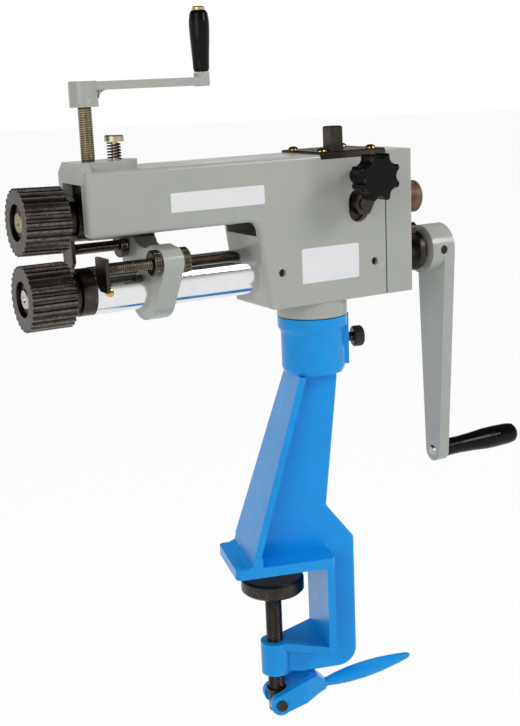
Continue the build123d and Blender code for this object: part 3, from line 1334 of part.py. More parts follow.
cover_bush = lathe(
    AXLE,
    (COVER_BUSH_FRONT, LOWER_TAIL_RADIUS + RUN_FIT),
    (COVER_BUSH_FRONT, COVER_BUSH_RADIUS),
    (HEAD_REAR, COVER_BUSH_RADIUS),
    (HEAD_REAR, COVER_BUSH_FLANGE),
    (COVER_BUSH_REAR, COVER_BUSH_FLANGE),
    (COVER_BUSH_REAR, LOWER_TAIL_RADIUS + RUN_FIT),
)
save(cover_bush, "cover_bush")

oil_nipple = lathe(
    sideways(OILER_X, LOWER_Z),
    (-TUBE_BORE + 1.0, 0),
    (-TUBE_BORE + 1.0, OILER_RADIUS / 2),
    (-TUBE_RADIUS, OILER_RADIUS / 2),
    (-TUBE_RADIUS, OILER_RADIUS),
    (-TUBE_RADIUS - 2.0, OILER_RADIUS),
    (-TUBE_RADIUS - 2.6, OILER_RADIUS * 0.55),
    (-TUBE_RADIUS - 3.6, OILER_RADIUS * 0.75),
    (-TUBE_RADIUS - 4.6, OILER_RADIUS * 0.4),
    (-TUBE_RADIUS - 4.6, 0),
)
save(oil_nipple, "oil_nipple")

# ---------------------------------------------------------------- main crank
thrust_collar = lathe(
    AXLE,
    (THRUST_FRONT, LOWER_TAIL_RADIUS + SNUG),
    (THRUST_FRONT, THRUST_RADIUS - 0.8),
    (THRUST_FRONT + 0.8, THRUST_RADIUS),
    (THRUST_STEP - 0.8, THRUST_RADIUS),
    (THRUST_STEP, THRUST_RADIUS - 0.8),
    (THRUST_STEP, THRUST_BOSS_RADIUS),
    (ARM_HUB_FRONT, THRUST_BOSS_RADIUS),
    (ARM_HUB_FRONT, LOWER_TAIL_RADIUS + SNUG),
)
save(thrust_collar, "thrust_collar")

with BuildPart() as crank_arm:
    with BuildSketch(axle_across(ARM_HUB_FRONT)):
        Circle(ARM_HUB_RADIUS)
    extrude(amount=ARM_REAR - ARM_HUB_FRONT)
    chamfer(crank_arm.faces().sort_by(Axis.X)[-1].edges(), 1.0)
    with BuildSketch(axle_across(ARM_PLATE_FRONT)) as arm_outline:
        Circle(ARM_HUB_RADIUS - 1.0)
        with Locations((0, -ARM_REACH)):
            Circle(ARM_END_RADIUS)
        make_hull()
    extrude(amount=ARM_REAR - ARM_PLATE_FRONT)
    drill(AXLE, ARM_HUB_FRONT - 1, ARM_REAR + 1, LOWER_TAIL_RADIUS + SNUG)
    grip_axis = along(0, LOWER_Z - ARM_REACH)
    drill(grip_axis, ARM_PLATE_FRONT - 1, ARM_REAR + 1, HANDGRIP_BOLT_RADIUS + SNUG)
    set_axis = sideways(ARM_SCREW_X, LOWER_Z)
    set_hole = rod(set_axis, -ARM_HUB_RADIUS - 1, -LOWER_TAIL_RADIUS + 1, ARM_SCREW_RADIUS + SNUG)
    add(set_hole.part, mode=Mode.SUBTRACT)
save(crank_arm, "crank_arm")

crank_set_screw = rod(
    set_axis,
    -ARM_HUB_RADIUS + ARM_SCREW_RECESS,
    -LOWER_TAIL_RADIUS - RUN_FIT,
    ARM_SCREW_RADIUS,
)
save(crank_set_screw, "crank_set_screw")

grip_bolt = lathe(
    grip_axis,
    (ARM_PLATE_FRONT - RIVET_THICK, 0),
    (ARM_PLATE_FRONT - RIVET_THICK, RIVET_RADIUS),
    (ARM_PLATE_FRONT, HANDGRIP_BOLT_RADIUS + 1.0),
    (ARM_PLATE_FRONT, HANDGRIP_BOLT_RADIUS),
    (HANDGRIP_REAR - HANDGRIP_SINK + GAP, HANDGRIP_BOLT_RADIUS),
    (HANDGRIP_REAR - HANDGRIP_SINK + GAP, HANDGRIP_BOLT_HEAD),
    (HANDGRIP_REAR - 1.0, HANDGRIP_BOLT_HEAD),
    (HANDGRIP_REAR - 0.5, HANDGRIP_BOLT_HEAD - 1.0),
    (HANDGRIP_REAR - 0.5, 0),
)
save(grip_bolt, "grip_bolt")

crank_grip = lathe(
    grip_axis,
    (HANDGRIP_FRONT, HANDGRIP_BOLT_RADIUS + RUN_FIT),
    (HANDGRIP_FRONT, HANDGRIP_NECK_RADIUS),
    (HANDGRIP_FRONT + 2.0, HANDGRIP_NECK_RADIUS + 0.3),
    (HANDGRIP_WAIST, HANDGRIP_NECK_RADIUS + 0.1),
    (HANDGRIP_SHOULDER, HANDGRIP_MID_RADIUS),
    (HANDGRIP_BELLY - 8.0, HANDGRIP_BELLY_RADIUS - 0.2),
    (HANDGRIP_BELLY + 5.0, HANDGRIP_BELLY_RADIUS),
    (HANDGRIP_REAR - 8.0, HANDGRIP_BELLY_RADIUS - 0.4),
    (HANDGRIP_REAR - 2.5, HANDGRIP_END_RADIUS),
    (HANDGRIP_REAR, HANDGRIP_END_RADIUS - 2.0),
    (HANDGRIP_REAR, HANDGRIP_SINK_RADIUS),
    (HANDGRIP_REAR - HANDGRIP_SINK, HANDGRIP_SINK_RADIUS),
    (HANDGRIP_REAR - HANDGRIP_SINK, HANDGRIP_BOLT_RADIUS + RUN_FIT),
)
save(crank_grip, "crank_grip")

# ---------------------------------------------------------------- pressure screw and crank
thrust_button = lathe(
    upright(SCREW_X),
    (BUTTON_BOTTOM, 0),
    (BUTTON_BOTTOM, BUTTON_RADIUS - 1.0),
    (BUTTON_BOTTOM + 1.0, BUTTON_RADIUS),
    (BUTTON_TOP, BUTTON_RADIUS),
    (BUTTON_TOP, SCREW_TIP_RADIUS + RUN_FIT),
    (SCREW_TIP_END - SPIGOT_LIFT, SCREW_TIP_RADIUS + RUN_FIT),
    (SCREW_TIP_END - SPIGOT_LIFT, 0),
)
save(thrust_button, "thrust_button")

CROSS_AXIS = sideways(SCREW_X, CROSS_PIN_Z)
pressure_turned = lathe(
    upright(SCREW_X),
    (SCREW_TIP_END, 0),
    (SCREW_TIP_END, SCREW_TIP_RADIUS),
    (BUTTON_TOP + SPIGOT_LIFT, SCREW_TIP_RADIUS),
    (BUTTON_TOP + SPIGOT_LIFT, SCREW_RADIUS),
    (SCREW_TOP, SCREW_RADIUS),
    (SCREW_TOP, 0),
)
with BuildPart() as pressure_screw:
    add(pressure_turned.part)
    cross_hole = rod(CROSS_AXIS, -CRANK_HUB_RADIUS - 1, CRANK_HUB_RADIUS + 1, CROSS_PIN_RADIUS + SNUG)
    add(cross_hole.part, mode=Mode.SUBTRACT)
save(pressure_screw, "pressure_screw")

with BuildPart() as pressure_crank:
    with BuildSketch(level(CRANK_HUB_BOTTOM)):
        with Locations((SCREW_X, 0)):
            Circle(CRANK_HUB_RADIUS)
    extrude(amount=CRANK_TOP - CRANK_HUB_BOTTOM)
    chamfer(pressure_crank.faces().sort_by(Axis.Z)[-1].edges(), 1.0)
    blend_x = SCREW_X + CRANK_HUB_RADIUS
    blend_z = CRANK_TOP - CRANK_THICK
    with BuildSketch(beside(0)):
        with BuildLine():
            Polyline(
                (blend_x - 1.0, blend_z - CRANK_BLEND),
                (blend_x - 1.0, blend_z + 1.0),
                (blend_x + CRANK_BLEND, blend_z + 1.0),
                (blend_x + CRANK_BLEND, blend_z),
            )
            ThreePointArc(
                (blend_x + CRANK_BLEND, blend_z),
                (blend_x + CRANK_BLEND * 0.25, blend_z - CRANK_BLEND * 0.25),
                (blend_x - 1.0, blend_z - CRANK_BLEND),
            )
        make_face()
    extrude(amount=CRANK_ROOT_HALF - 2.0, both=True)
    with BuildSketch(level(CRANK_TOP - CRANK_THICK)):
        with BuildLine():
            Polyline(
                (SCREW_X, -CRANK_ROOT_HALF),
                (SCREW_X + CRANK_REACH, -CRANK_END_RADIUS),
                (SCREW_X + CRANK_REACH, CRANK_END_RADIUS),
                (SCREW_X, CRANK_ROOT_HALF),
                close=True,
            )
        make_face()
    extrude(amount=CRANK_THICK - 0.5)
    with BuildSketch(level(CRANK_TOP - CRANK_THICK - 0.5)):
        with Locations((SCREW_X + CRANK_REACH, 0)):
            Circle(CRANK_END_RADIUS)
    extrude(amount=CRANK_BOSS_TOP - CRANK_TOP + CRANK_THICK + 0.5)
    drill(upright(SCREW_X), CRANK_HUB_BOTTOM - 1, SCREW_TOP + SNUG, SCREW_RADIUS + SNUG)
    add(cross_hole.part, mode=Mode.SUBTRACT)
    stud_bore = rod(
        upright(SCREW_X + CRANK_REACH),
        CRANK_TOP - CRANK_THICK - 1,
        CRANK_BOSS_TOP + 1,
        GRIP_BOLT_RADIUS + SNUG,
    )
    add(stud_bore.part, mode=Mode.SUBTRACT)
save(pressure_crank, "pressure_crank")

pressure_crank_pin = rod(CROSS_AXIS, -CRANK_HUB_RADIUS + 0.4, CRANK_HUB_RADIUS - 0.4, CROSS_PIN_RADIUS)
save(pressure_crank_pin, "pressure_crank_pin")

pressure_grip = lathe(
    upright(SCREW_X + CRANK_REACH),
    (GRIP_BOTTOM, GRIP_BOLT_RADIUS + RUN_FIT),
    (GRIP_BOTTOM, GRIP_FOOT_RADIUS),
    (GRIP_BOTTOM + 2.5, GRIP_FOOT_RADIUS + 0.8),
    (GRIP_WAIST, GRIP_WAIST_RADIUS),
    (GRIP_BELLY - 13.0, GRIP_BELLY_RADIUS - 0.3),
    (GRIP_BELLY - 4.0, GRIP_BELLY_RADIUS),
    (GRIP_BELLY, GRIP_BELLY_RADIUS - 0.1),
    (GRIP_TOP - 2.5, GRIP_BELLY_RADIUS - 0.9),
    (GRIP_TOP, GRIP_CROWN_RADIUS),
    (GRIP_TOP, GRIP_BOLT_RADIUS + RUN_FIT),
)
save(pressure_grip, "pressure_grip")

pressure_grip_bolt = lathe(
    upright(SCREW_X + CRANK_REACH),
    (CRANK_TOP - CRANK_THICK - 0.5, 0),
    (CRANK_TOP - CRANK_THICK - 0.5, GRIP_BOLT_RADIUS),
    (GRIP_TOP + GAP, GRIP_BOLT_RADIUS),
    (GRIP_TOP + GAP, GRIP_BOLT_HEAD),
    (GRIP_BOLT_TOP - 0.8, GRIP_BOLT_HEAD),
    (GRIP_BOLT_TOP, GRIP_BOLT_HEAD - 1.2),
    (GRIP_BOLT_TOP, 0),
)
save(pressure_grip_bolt, "pressure_grip_bolt")

# ---------------------------------------------------------------- star knob
STAR_AXIS = sideways(STAR_X, STAR_Z)
star_hub = rod(STAR_AXIS, -STAR_BACK - 1, -STAR_HUB_FOOT, STAR_HUB_RADIUS)
star_bore = rod(STAR_AXIS, -STAR_BACK - STAR_BORE_CAP, -STAR_HUB_FOOT + 1, STAR_STUD_RADIUS + SNUG)
with BuildPart() as star_knob:
    with BuildSketch(beside(-STAR_BACK)) as star_outline:
        with Locations((STAR_X, STAR_Z)):
            Circle(STAR_RADIUS)
            with PolarLocations(STAR_SCALLOP_CIRCLE, STAR_LOBES):
                Circle(STAR_SCALLOP_RADIUS, mode=Mode.SUBTRACT)
        fillet(star_outline.vertices(), STAR_LOBE_ROUND)
    extrude(amount=STAR_FACE - STAR_BACK)
    chamfer(star_knob.faces().sort_by(Axis.Y)[0].edges(), STAR_EDGE)
    chamfer(star_knob.faces().sort_by(Axis.Y)[-1].edges(), STAR_EDGE)
    add(star_hub.part)
    add(star_bore.part, mode=Mode.SUBTRACT)
save(star_knob, "star_knob")

star_stud = rod(STAR_AXIS, -STAR_BACK - STAR_STUD_PROUD, -STAR_STUD_TIP, STAR_STUD_RADIUS)
save(star_stud, "star_stud")

# ---------------------------------------------------------------- sheet guide
ROLL_COS = cos(radians(GUIDE_ROLL))
ROLL_SIN = sin(radians(GUIDE_ROLL))


def guide_across(x):
    """Section plane of the guide, rolled with it about the tube."""
    return Plane(
        origin=(SWIVEL_X + x, SWIVEL_Y, LOWER_Z),
        x_dir=(0, ROLL_COS, ROLL_SIN),
        z_dir=(1, 0, 0),
    )


def guide_rod_axis(side):
    """Lathe plane along one of the guide's rods."""
    spot = guide_across(0).from_local_coords(Vector(side * GUIDE_REACH, GUIDE_RISE, 0))
    return Plane(origin=spot, x_dir=(1, 0, 0), z_dir=(0, -1, 0))


with BuildPart() as guide_bracket:
    with BuildSketch(guide_across(GUIDE_FRONT)):
        Circle(GUIDE_RING_RADIUS)
        with Locations((GUIDE_REACH, GUIDE_RISE), (-GUIDE_REACH, GUIDE_RISE)):
            Circle(GUIDE_EAR_RADIUS)
        make_hull()
        with Locations((0, GUIDE_SCOOP_Z)):
            Circle(GUIDE_SCOOP_RADIUS, mode=Mode.SUBTRACT)
        Circle(TUBE_RADIUS + RUN_FIT, mode=Mode.SUBTRACT)
        with Locations((GUIDE_REACH, GUIDE_RISE), (-GUIDE_REACH, GUIDE_RISE)):
            Circle(GUIDE_ROD_RADIUS + RUN_FIT, mode=Mode.SUBTRACT)
    extrude(amount=GUIDE_THICK)
    guide_screw_axis = sideways(GUIDE_FRONT + GUIDE_THICK / 2, LOWER_Z)
    hole_end = GUIDE_RING_RADIUS + 3
    guide_screw_hole = rod(guide_screw_axis, TUBE_RADIUS - 1, hole_end, GUIDE_SCREW_RADIUS + SNUG)
    add(guide_screw_hole.part, mode=Mode.SUBTRACT)
save(guide_bracket, "guide_bracket")

guide_lock_screw = rod(guide_screw_axis, TUBE_RADIUS + GAP, GUIDE_RING_RADIUS - 0.5, GUIDE_SCREW_RADIUS)
save(guide_lock_screw, "guide_lock_screw")

for name, side in (("near", -1), ("far", 1)):
    rod_axis = guide_rod_axis(side)
    rod_end = GUIDE_FRONT + GUIDE_THICK + GUIDE_NUT_THICK + FENCE_ROD_TAIL
    fence_rod = rod(rod_axis, FENCE_FRONT + 1.0, rod_end, GUIDE_ROD_RADIUS)
    fence_plane = Plane(origin=rod_axis.origin + Vector(FENCE_FRONT, 0, 0), x_dir=(0, 1, 0), z_dir=(1, 0, 0))
    fence_plate = prism(
        fence_plane,
        FENCE_THICK,
        (-side * FENCE_IN, FENCE_RISE),
        (side * FENCE_OUT, FENCE_RISE),
        (side * FENCE_OUT, -FENCE_DROP),
        (side * (FENCE_CUT - FENCE_IN), -FENCE_DROP),
        (-side * FENCE_IN, FENCE_CUT - FENCE_DROP),
    )
    with BuildPart() as fence:
        add(fence_plate.part)
        add(fence_rod.part)
    save(fence, name + "_fence")
    with BuildPart() as nuts:
        for start in (GUIDE_FRONT - GUIDE_NUT_THICK - GAP, GUIDE_FRONT + GUIDE_THICK + GAP):
            nut = lathe(
                rod_axis,
                (start, GUIDE_ROD_RADIUS + RUN_FIT),
                (start, GUIDE_NUT_RADIUS - GUIDE_NUT_EDGE),
                (start + GUIDE_NUT_EDGE, GUIDE_NUT_RADIUS),
                (start + GUIDE_NUT_THICK - GUIDE_NUT_EDGE, GUIDE_NUT_RADIUS),
                (start + GUIDE_NUT_THICK, GUIDE_NUT_RADIUS - GUIDE_NUT_EDGE),
                (start + GUIDE_NUT_THICK, GUIDE_ROD_RADIUS + RUN_FIT),
            )
            add(nut.part)
    save(nuts, name + "_guide_nuts")

print("tilt", round(degrees(TILT), 3), "swivel", round(SWIVEL_X, 3), round(SWIVEL_Y, 3))
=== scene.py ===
"""Studio picture and finishes of a hand cranked sheet metal crimper on its bench clamp."""

import json
import math

import bpy
from mathutils import Matrix, Vector


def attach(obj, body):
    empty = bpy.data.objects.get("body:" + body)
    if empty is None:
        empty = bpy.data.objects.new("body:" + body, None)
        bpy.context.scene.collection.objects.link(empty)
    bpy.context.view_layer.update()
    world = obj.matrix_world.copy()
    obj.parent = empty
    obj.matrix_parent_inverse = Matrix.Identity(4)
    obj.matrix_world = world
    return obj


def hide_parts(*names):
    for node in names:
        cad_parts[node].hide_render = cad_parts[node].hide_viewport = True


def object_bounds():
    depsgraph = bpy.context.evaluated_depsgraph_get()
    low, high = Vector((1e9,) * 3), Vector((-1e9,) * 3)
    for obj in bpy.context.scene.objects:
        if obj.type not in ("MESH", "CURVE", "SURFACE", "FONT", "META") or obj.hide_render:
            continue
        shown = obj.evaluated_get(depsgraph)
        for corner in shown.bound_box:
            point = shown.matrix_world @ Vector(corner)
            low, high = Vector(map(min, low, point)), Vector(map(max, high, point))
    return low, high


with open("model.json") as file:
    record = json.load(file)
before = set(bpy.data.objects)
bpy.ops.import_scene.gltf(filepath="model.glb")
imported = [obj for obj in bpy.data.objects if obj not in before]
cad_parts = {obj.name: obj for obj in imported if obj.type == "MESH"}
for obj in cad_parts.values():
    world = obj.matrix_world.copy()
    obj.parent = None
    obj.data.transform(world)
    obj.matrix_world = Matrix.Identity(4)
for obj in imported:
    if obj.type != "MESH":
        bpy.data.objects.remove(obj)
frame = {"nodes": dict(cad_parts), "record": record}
cad_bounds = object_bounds()

# The object's own measures, as in the part's source, in millimetres. A station is a distance
# along X from the swivel axis, towards the crank; a height is counted from the jaw plate.
MM = 0.001
SWIVEL = Vector((43.4667, -11.6469, 0.0))
LOWER_Z = 265.5
UPPER_PIVOT_X = 31.0
UPPER_PIVOT_Z = 315.5
UPPER_SLOPE = math.tan(math.radians(1.615))
ROLL_ROOT = 24.6
ROLL_CREST = 25.5
STAND_TURN = math.radians(-15.0)
SPLIT = 57.5
HEAD_SIDE = -31.0


def spot(x, y, z):
    """A point of the head, given in millimetres from the swivel axis, in metres."""
    return Vector((SWIVEL.x + x, SWIVEL.y + y, z)) * MM


# ------------------------------------------------------------------ camera
# the camera that was fitted to the photograph's edges
AIM = Vector((-9.84, -11.65, 185.58)) * MM
DISTANCE = 1.02837
AZIMUTH = math.radians(-29.11)
ELEVATION = math.radians(13.33)
LEAN = math.radians(-2.41)
IMAGE_WIDTH = 520
FOCAL_PIXELS = 1212.44
SENSOR = 36.0

back = Vector((
    math.sin(AZIMUTH) * math.cos(ELEVATION),
    -math.cos(AZIMUTH) * math.cos(ELEVATION),
    math.sin(ELEVATION),
))
level_right = (-back).cross(Vector((0, 0, 1))).normalized()
level_up = level_right.cross(-back)
right = math.cos(LEAN) * level_right + math.sin(LEAN) * level_up
up = -math.sin(LEAN) * level_right + math.cos(LEAN) * level_up
bpy.ops.object.select_all(action="DESELECT")
bpy.ops.object.camera_add()
camera = bpy.context.object
camera.name = "photo_camera"
camera.matrix_world = Matrix((
    (right.x, up.x, back.x, AIM.x + back.x * DISTANCE),
    (right.y, up.y, back.y, AIM.y + back.y * DISTANCE),
    (right.z, up.z, back.z, AIM.z + back.z * DISTANCE),
    (0, 0, 0, 1),
))
camera.data.sensor_fit = "HORIZONTAL"
camera.data.sensor_width = SENSOR
camera.data.lens = FOCAL_PIXELS / IMAGE_WIDTH * SENSOR
camera.data.clip_end = 20
bpy.context.scene.camera = camera


# ------------------------------------------------------------------ shader helpers
OBJECT_COORDINATES = 3


class Signal:
    """A socket's value in a material; arithmetic on it adds Math nodes."""

    def __init__(self, finish, socket):
        self.finish = finish
        self.socket = socket

    def _math(self, operation, *values):
        return self.finish.node("ShaderNodeMath", {"operation": operation}, *values)

    def __add__(self, other):
        return self._math("ADD", self, other)

    def __sub__(self, other):
        return self._math("SUBTRACT", self, other)

    def __mul__(self, other):
        return self._math("MULTIPLY", self, other)

    def __pow__(self, other):
        return self._math("POWER", self, other)

    def __rsub__(self, other):
        return self._math("SUBTRACT", other, self)

    __radd__ = __add__
    __rmul__ = __mul__

    def sine(self):
        return self._math("SINE", self)

    def size(self):
        return self._math("ABSOLUTE", self)

    def most(self, other):
        return self._math("MAXIMUM", self, other)


class Finish:
    """One procedural finish: a material, its shader and the nodes behind it."""

    def __init__(self, name, colour, roughness, metallic=0.0, **constants):
        self.material = bpy.data.materials.new(name)
        self.material.use_nodes = True
        self.tree = self.material.node_tree
        self.shader = self.tree.nodes["Principled BSDF"]
        self.material.diffuse_color = (*colour, 1)
        self.feed("Base Color", (*colour, 1))
        self.feed("Roughness", roughness)
        self.feed("Metallic", metallic)
        for socket, value in constants.items():
            self.feed(socket.replace("_", " "), value)

    def feed(self, socket, value):
        """Gives one of the shader's sockets a constant or a signal."""
        self._set(self.shader.inputs[socket], value)

    def _set(self, socket, value):
        if isinstance(value, Signal):
            self.tree.links.new(value.socket, socket)
        else:
            socket.default_value = value

    def node(self, kind, settings, *values, out=0, **named):
        """Adds a node: settings first, then the values or signals of its sockets."""
        made = self.tree.nodes.new(kind)
        for key, value in settings.items():
            setattr(made, key, value)
        for socket, value in zip(made.inputs, values):
            self._set(socket, value)
        for key, value in named.items():
            self._set(made.inputs[key.replace("_", " ")], value)
        return Signal(self, made.outputs[out])

    def place(self):
        """The point on the piece, in metres: Object coordinates."""
        return self.node("ShaderNodeTexCoord", {}, out=OBJECT_COORDINATES)

    def parts_of(self, vector):
        """The three coordinates of a vector."""
        split = self.node("ShaderNodeSeparateXYZ", {}, vector)
        outputs = split.socket.node.outputs
        return tuple(Signal(self, outputs[n]) for n in range(3))

    def noise(self, scale, detail=3.0, roughness=0.5, stretch=None):
        """Cloudy noise over the piece, 0 to 1, drawn out along an axis when it is stretched."""
        point = self.place()
        if stretch:
            point = self.node("ShaderNodeMapping", {}, point, Scale=stretch)
        return self.node(
            "ShaderNodeTexNoise", {}, point, Scale=scale, Detail=detail, Roughness=roughness
        )

    def band(self, signal, low, high, from_value=0.0, to_value=1.0):
        """Maps a signal between two levels, smoothly and held at the ends."""
        return self.node(
            "ShaderNodeMapRange", {"interpolation_type": "SMOOTHSTEP"},
            signal, low, high, from_value, to_value,
        )

    def blend(self, mask, first, second):
        """Mixes two colours or colour signals."""
        mixed = self.tree.nodes.new("ShaderNodeMix")
        mixed.data_type = "RGBA"
        self._set(mixed.inputs["Factor"], mask)
        for name, value in (("A", first), ("B", second)):
            socket = [s for s in mixed.inputs if s.name == name and s.type == "RGBA"][0]
            self._set(socket, value if isinstance(value, Signal) else (*value, 1))
        return Signal(self, [s for s in mixed.outputs if s.type == "RGBA"][0])

    def bump(self, height, depth):
        """Feeds a bump of a real depth in metres to the shader."""
        relief = self.node(
            "ShaderNodeBump", {}, Strength=1.0, Distance=depth, Height=height
        )
        self.feed("Normal", relief)


# ------------------------------------------------------------------ finishes
# lengths and places in metres, colours in linear values
DUST = (0.5, 0.49, 0.46)
# the half width, fade and colour of a painted shade line in the gap between the head casting and
# its rear cover
SEAM_HALF = 0.00035
SEAM_FADE = 0.0006
GAP_SHADE_COLOUR = (0.012, 0.011, 0.01)
TURNING_LINES = (1, 0.02, 0.02)
FACING_PITCH = 0.00055
SHAFT_FRONT = (-0.1, -0.08)


def enamel(name, colour, dark, light, peel=1.0, gloss=0.2, shine=0.5, seam=None):
    """Gloss enamel over a sand casting: soft orange peel, faint waves and a little dust.

    seam is the place along X, in metres, of the joint between two castings, where a thin dark
    line is painted as the shade in the gap between them.
    """
    made = Finish(name, colour, gloss, IOR=1.5, Specular_IOR_Level=shine)
    cloud = made.noise(14.0, 5.0, 0.6)
    speck = made.noise(900.0, 2.0, 0.6)
    body = made.blend(made.band(cloud, 0.25, 0.75), dark, light)
    if seam is not None:
        # a dark line at the joint: painted shade of the gap between the casting and the rear
        # cover
        off_seam = (made.parts_of(made.place())[0] - seam).size()
        gap_shade = made.band(off_seam, SEAM_HALF, SEAM_FADE, 1.0, 0.0)
        body = made.blend(gap_shade, body, GAP_SHADE_COLOUR)
    dust = made.band(speck, 0.66, 0.82, 0.0, 0.1)
    made.feed("Base Color", made.blend(dust, body, DUST))
    made.feed("Roughness", made.band(made.noise(30.0, 2.0), 0.2, 0.8, gloss - 0.04, gloss + 0.08))
    sand = made.noise(650.0, 3.0, 0.6) * (0.12 * peel)
    made.bump(made.noise(46.0, 2.0) + sand, 0.0003)
    return made


def turned_metal(name, colour, roughness, tint, wear_and_glint=None, lines=2600.0):
    """Turned or ground metal with fine lines and uneven tone, and patches of a second colour for
    wear, which on the knurls and rod threads is also a painted glint.
    """
    made = Finish(name, colour, roughness, 1.0)
    body = made.blend(made.band(made.noise(60.0, 4.0), 0.3, 0.72), colour, tint)
    if wear_and_glint:
        patch = made.band(made.noise(210.0, 5.0, 0.65), 0.56, 0.72)
        body = made.blend(patch * 0.55, body, wear_and_glint)
    made.feed("Base Color", body)
    grain = made.noise(lines, 2.0, 0.5, stretch=TURNING_LINES)
    made.feed("Roughness", made.band(grain, 0.3, 0.7, roughness - 0.07, roughness + 0.09))
    made.bump(grain, 0.00003)
    return made


def from_shaft(made, height, pivot=0.0, slope=0.0):
    """Distance in metres from a shaft's axis, which rises by slope towards the rolls."""
    x, y, z = made.parts_of(made.place())
    middle = height * MM + (spot(pivot, 0, 0).x - x) * slope
    across = y - SWIVEL.y * MM
    drop = z - middle
    return (across * across + drop * drop) ** 0.5


def roll_oxide(name, height, pivot=0.0, slope=0.0):
    """Black oxide on a fluted roll, painted lighter on the crests as rubbed wear and a painted
    highlight, with faced rings on its end.
    """
    made = Finish(name, (0.05, 0.043, 0.038), 0.36, 1.0)
    radius = from_shaft(made, height, pivot, slope)
    cloud = made.band(made.noise(120.0, 5.0, 0.6), 0.3, 0.7)
    body = made.blend(cloud, (0.05, 0.043, 0.039), (0.1, 0.082, 0.07))
    crest_wear_and_highlight = made.band(made.noise(300.0, 3.0), 0.3, 0.65, 0.25, 1.0)
    # the crests are painted lighter and brown: partly rubbed wear, partly a painted highlight
    crest = made.band(radius, ROLL_ROOT * MM, ROLL_CREST * MM) * crest_wear_and_highlight
    made.feed("Base Color", made.blend(crest * 0.8, body, (0.17, 0.155, 0.14)))
    made.feed("Roughness", made.band(crest, 0.0, 1.0, 0.38, 0.2))
    rings = (radius * (2 * math.pi / FACING_PITCH)).sine()
    made.bump(rings * 0.35 + made.noise(900.0, 3.0), 0.00004)
    return made


def rough_rust(name):
    """A sawn, browned shaft end with pits and bright specks; the shaft's front end is clean."""
    made = Finish(name, (0.2, 0.12, 0.08), 0.6, 0.35)
    grain = made.noise(520.0, 5.0, 0.7)
    cloud = made.band(made.noise(90.0, 4.0), 0.35, 0.65)
    body = made.blend(cloud, (0.105, 0.055, 0.035), (0.24, 0.14, 0.09))
    pitted = made.blend(made.band(grain, 0.42, 0.3, 0.0, 1.0), body, (0.03, 0.018, 0.013))
    browned = made.blend(made.band(grain, 0.58, 0.72), pitted, (0.5, 0.36, 0.25))
    front = made.band(made.parts_of(made.place())[0], *SHAFT_FRONT, 1.0, 0.0)
    made.feed("Base Color", made.blend(front, browned, (0.44, 0.36, 0.26)))
    made.feed("Metallic", made.band(front, 0.0, 1.0, 0.35, 1.0))
    made.feed("Roughness", made.band(grain, 0.3, 0.7, 0.66, 0.42))
    made.bump(grain, 0.00035)
    return made


grey_enamel = enamel(
    "grey_enamel", (0.42, 0.44, 0.4), (0.405, 0.425, 0.388), (0.435, 0.455, 0.415),
    seam=spot(SPLIT, 0, 0).x,
)
blue_enamel = enamel(
    "blue_enamel", (0.003, 0.33, 0.85), (0.002, 0.305, 0.8), (0.005, 0.35, 0.88), 1.4, 0.24, 0.3
)
black_oxide = turned_metal(
    "black_oxide", (0.042, 0.036, 0.032), 0.36, (0.065, 0.054, 0.046), (0.16, 0.135, 0.11)
)
chrome = turned_metal("chrome", (0.8, 0.8, 0.81), 0.09, (0.74, 0.74, 0.76), lines=1400.0)
zinc = turned_metal("zinc_yellow", (0.52, 0.46, 0.3), 0.3, (0.4, 0.36, 0.27), (0.3, 0.25, 0.16))
steel = turned_metal("ground_steel", (0.5, 0.5, 0.49), 0.26, (0.4, 0.4, 0.39))
brass = turned_metal("turned_brass", (0.7, 0.46, 0.16), 0.2, (0.5, 0.31, 0.1))
bronze = turned_metal("bearing_bronze", (0.38, 0.24, 0.11), 0.38, (0.3, 0.19, 0.09))
# the pressure screw's core is painted dark brown under its zinc thread crests: painted shade in
# the roots of the thread
thread_root_shade = turned_metal("thread_root_shade", (0.1, 0.075, 0.045), 0.45, (0.055, 0.04, 0.027))
# the knurls and rod thread crests are painted light gold-brown over black oxide: partly wear,
# partly a painted glint
crest_wear_and_glint = turned_metal(
    "crest_wear_and_glint", (0.075, 0.062, 0.048), 0.24, (0.17, 0.14, 0.1), (0.55, 0.46, 0.3), 900.0
)
lower_oxide = roll_oxide("lower_roll_oxide", LOWER_Z)
upper_oxide = roll_oxide("upper_roll_oxide", UPPER_PIVOT_Z, UPPER_PIVOT_X, UPPER_SLOPE)
rust = rough_rust("rough_rust")

gloss_black = Finish(
    "gloss_black", (0.004, 0.004, 0.004), 0.16, 0.0, IOR=1.5, Specular_IOR_Level=0.13
)
gloss_black.feed(
    "Roughness", gloss_black.band(gloss_black.noise(70.0, 3.0), 0.3, 0.7, 0.1, 0.22)
)
gloss_black.bump(gloss_black.noise(160.0, 2.0), 0.00008)

label_white = Finish("label_white", (0.85, 0.86, 0.87), 0.5, 0.0, IOR=1.45)
label_cloud = label_white.band(label_white.noise(40.0, 2.0), 0.2, 0.8)
label_white.feed(
    "Base Color", label_white.blend(label_cloud, (0.86, 0.87, 0.88), (0.83, 0.84, 0.85))
)
label_white.bump(label_white.noise(240.0, 2.0), 0.00001)

FINISHES = {
    "paint_grey": grey_enamel,
    "paint_blue": blue_enamel,
    "oxide_black": black_oxide,
    "chrome_plate": chrome,
    "zinc_yellow": zinc,
    "steel_bright": steel,
    "steel_rusty": rust,
    "brass_turned": brass,
    "bronze_bush": bronze,
    "black_gloss": gloss_black,
}
node_slot = {row["node"]: row["material_slot"] for row in frame["record"]["subparts"]}


def paint(node, finish):
    """Gives a CAD node its finish."""
    piece = frame["nodes"][node]
    if not piece.material_slots:
        piece.data.materials.append(finish.material)
    for place in piece.material_slots:
        place.material = finish.material


for node, slot_name in node_slot.items():
    paint(node, FINISHES[slot_name])
paint("lower_roll", lower_oxide)
paint("upper_roll", upper_oxide)
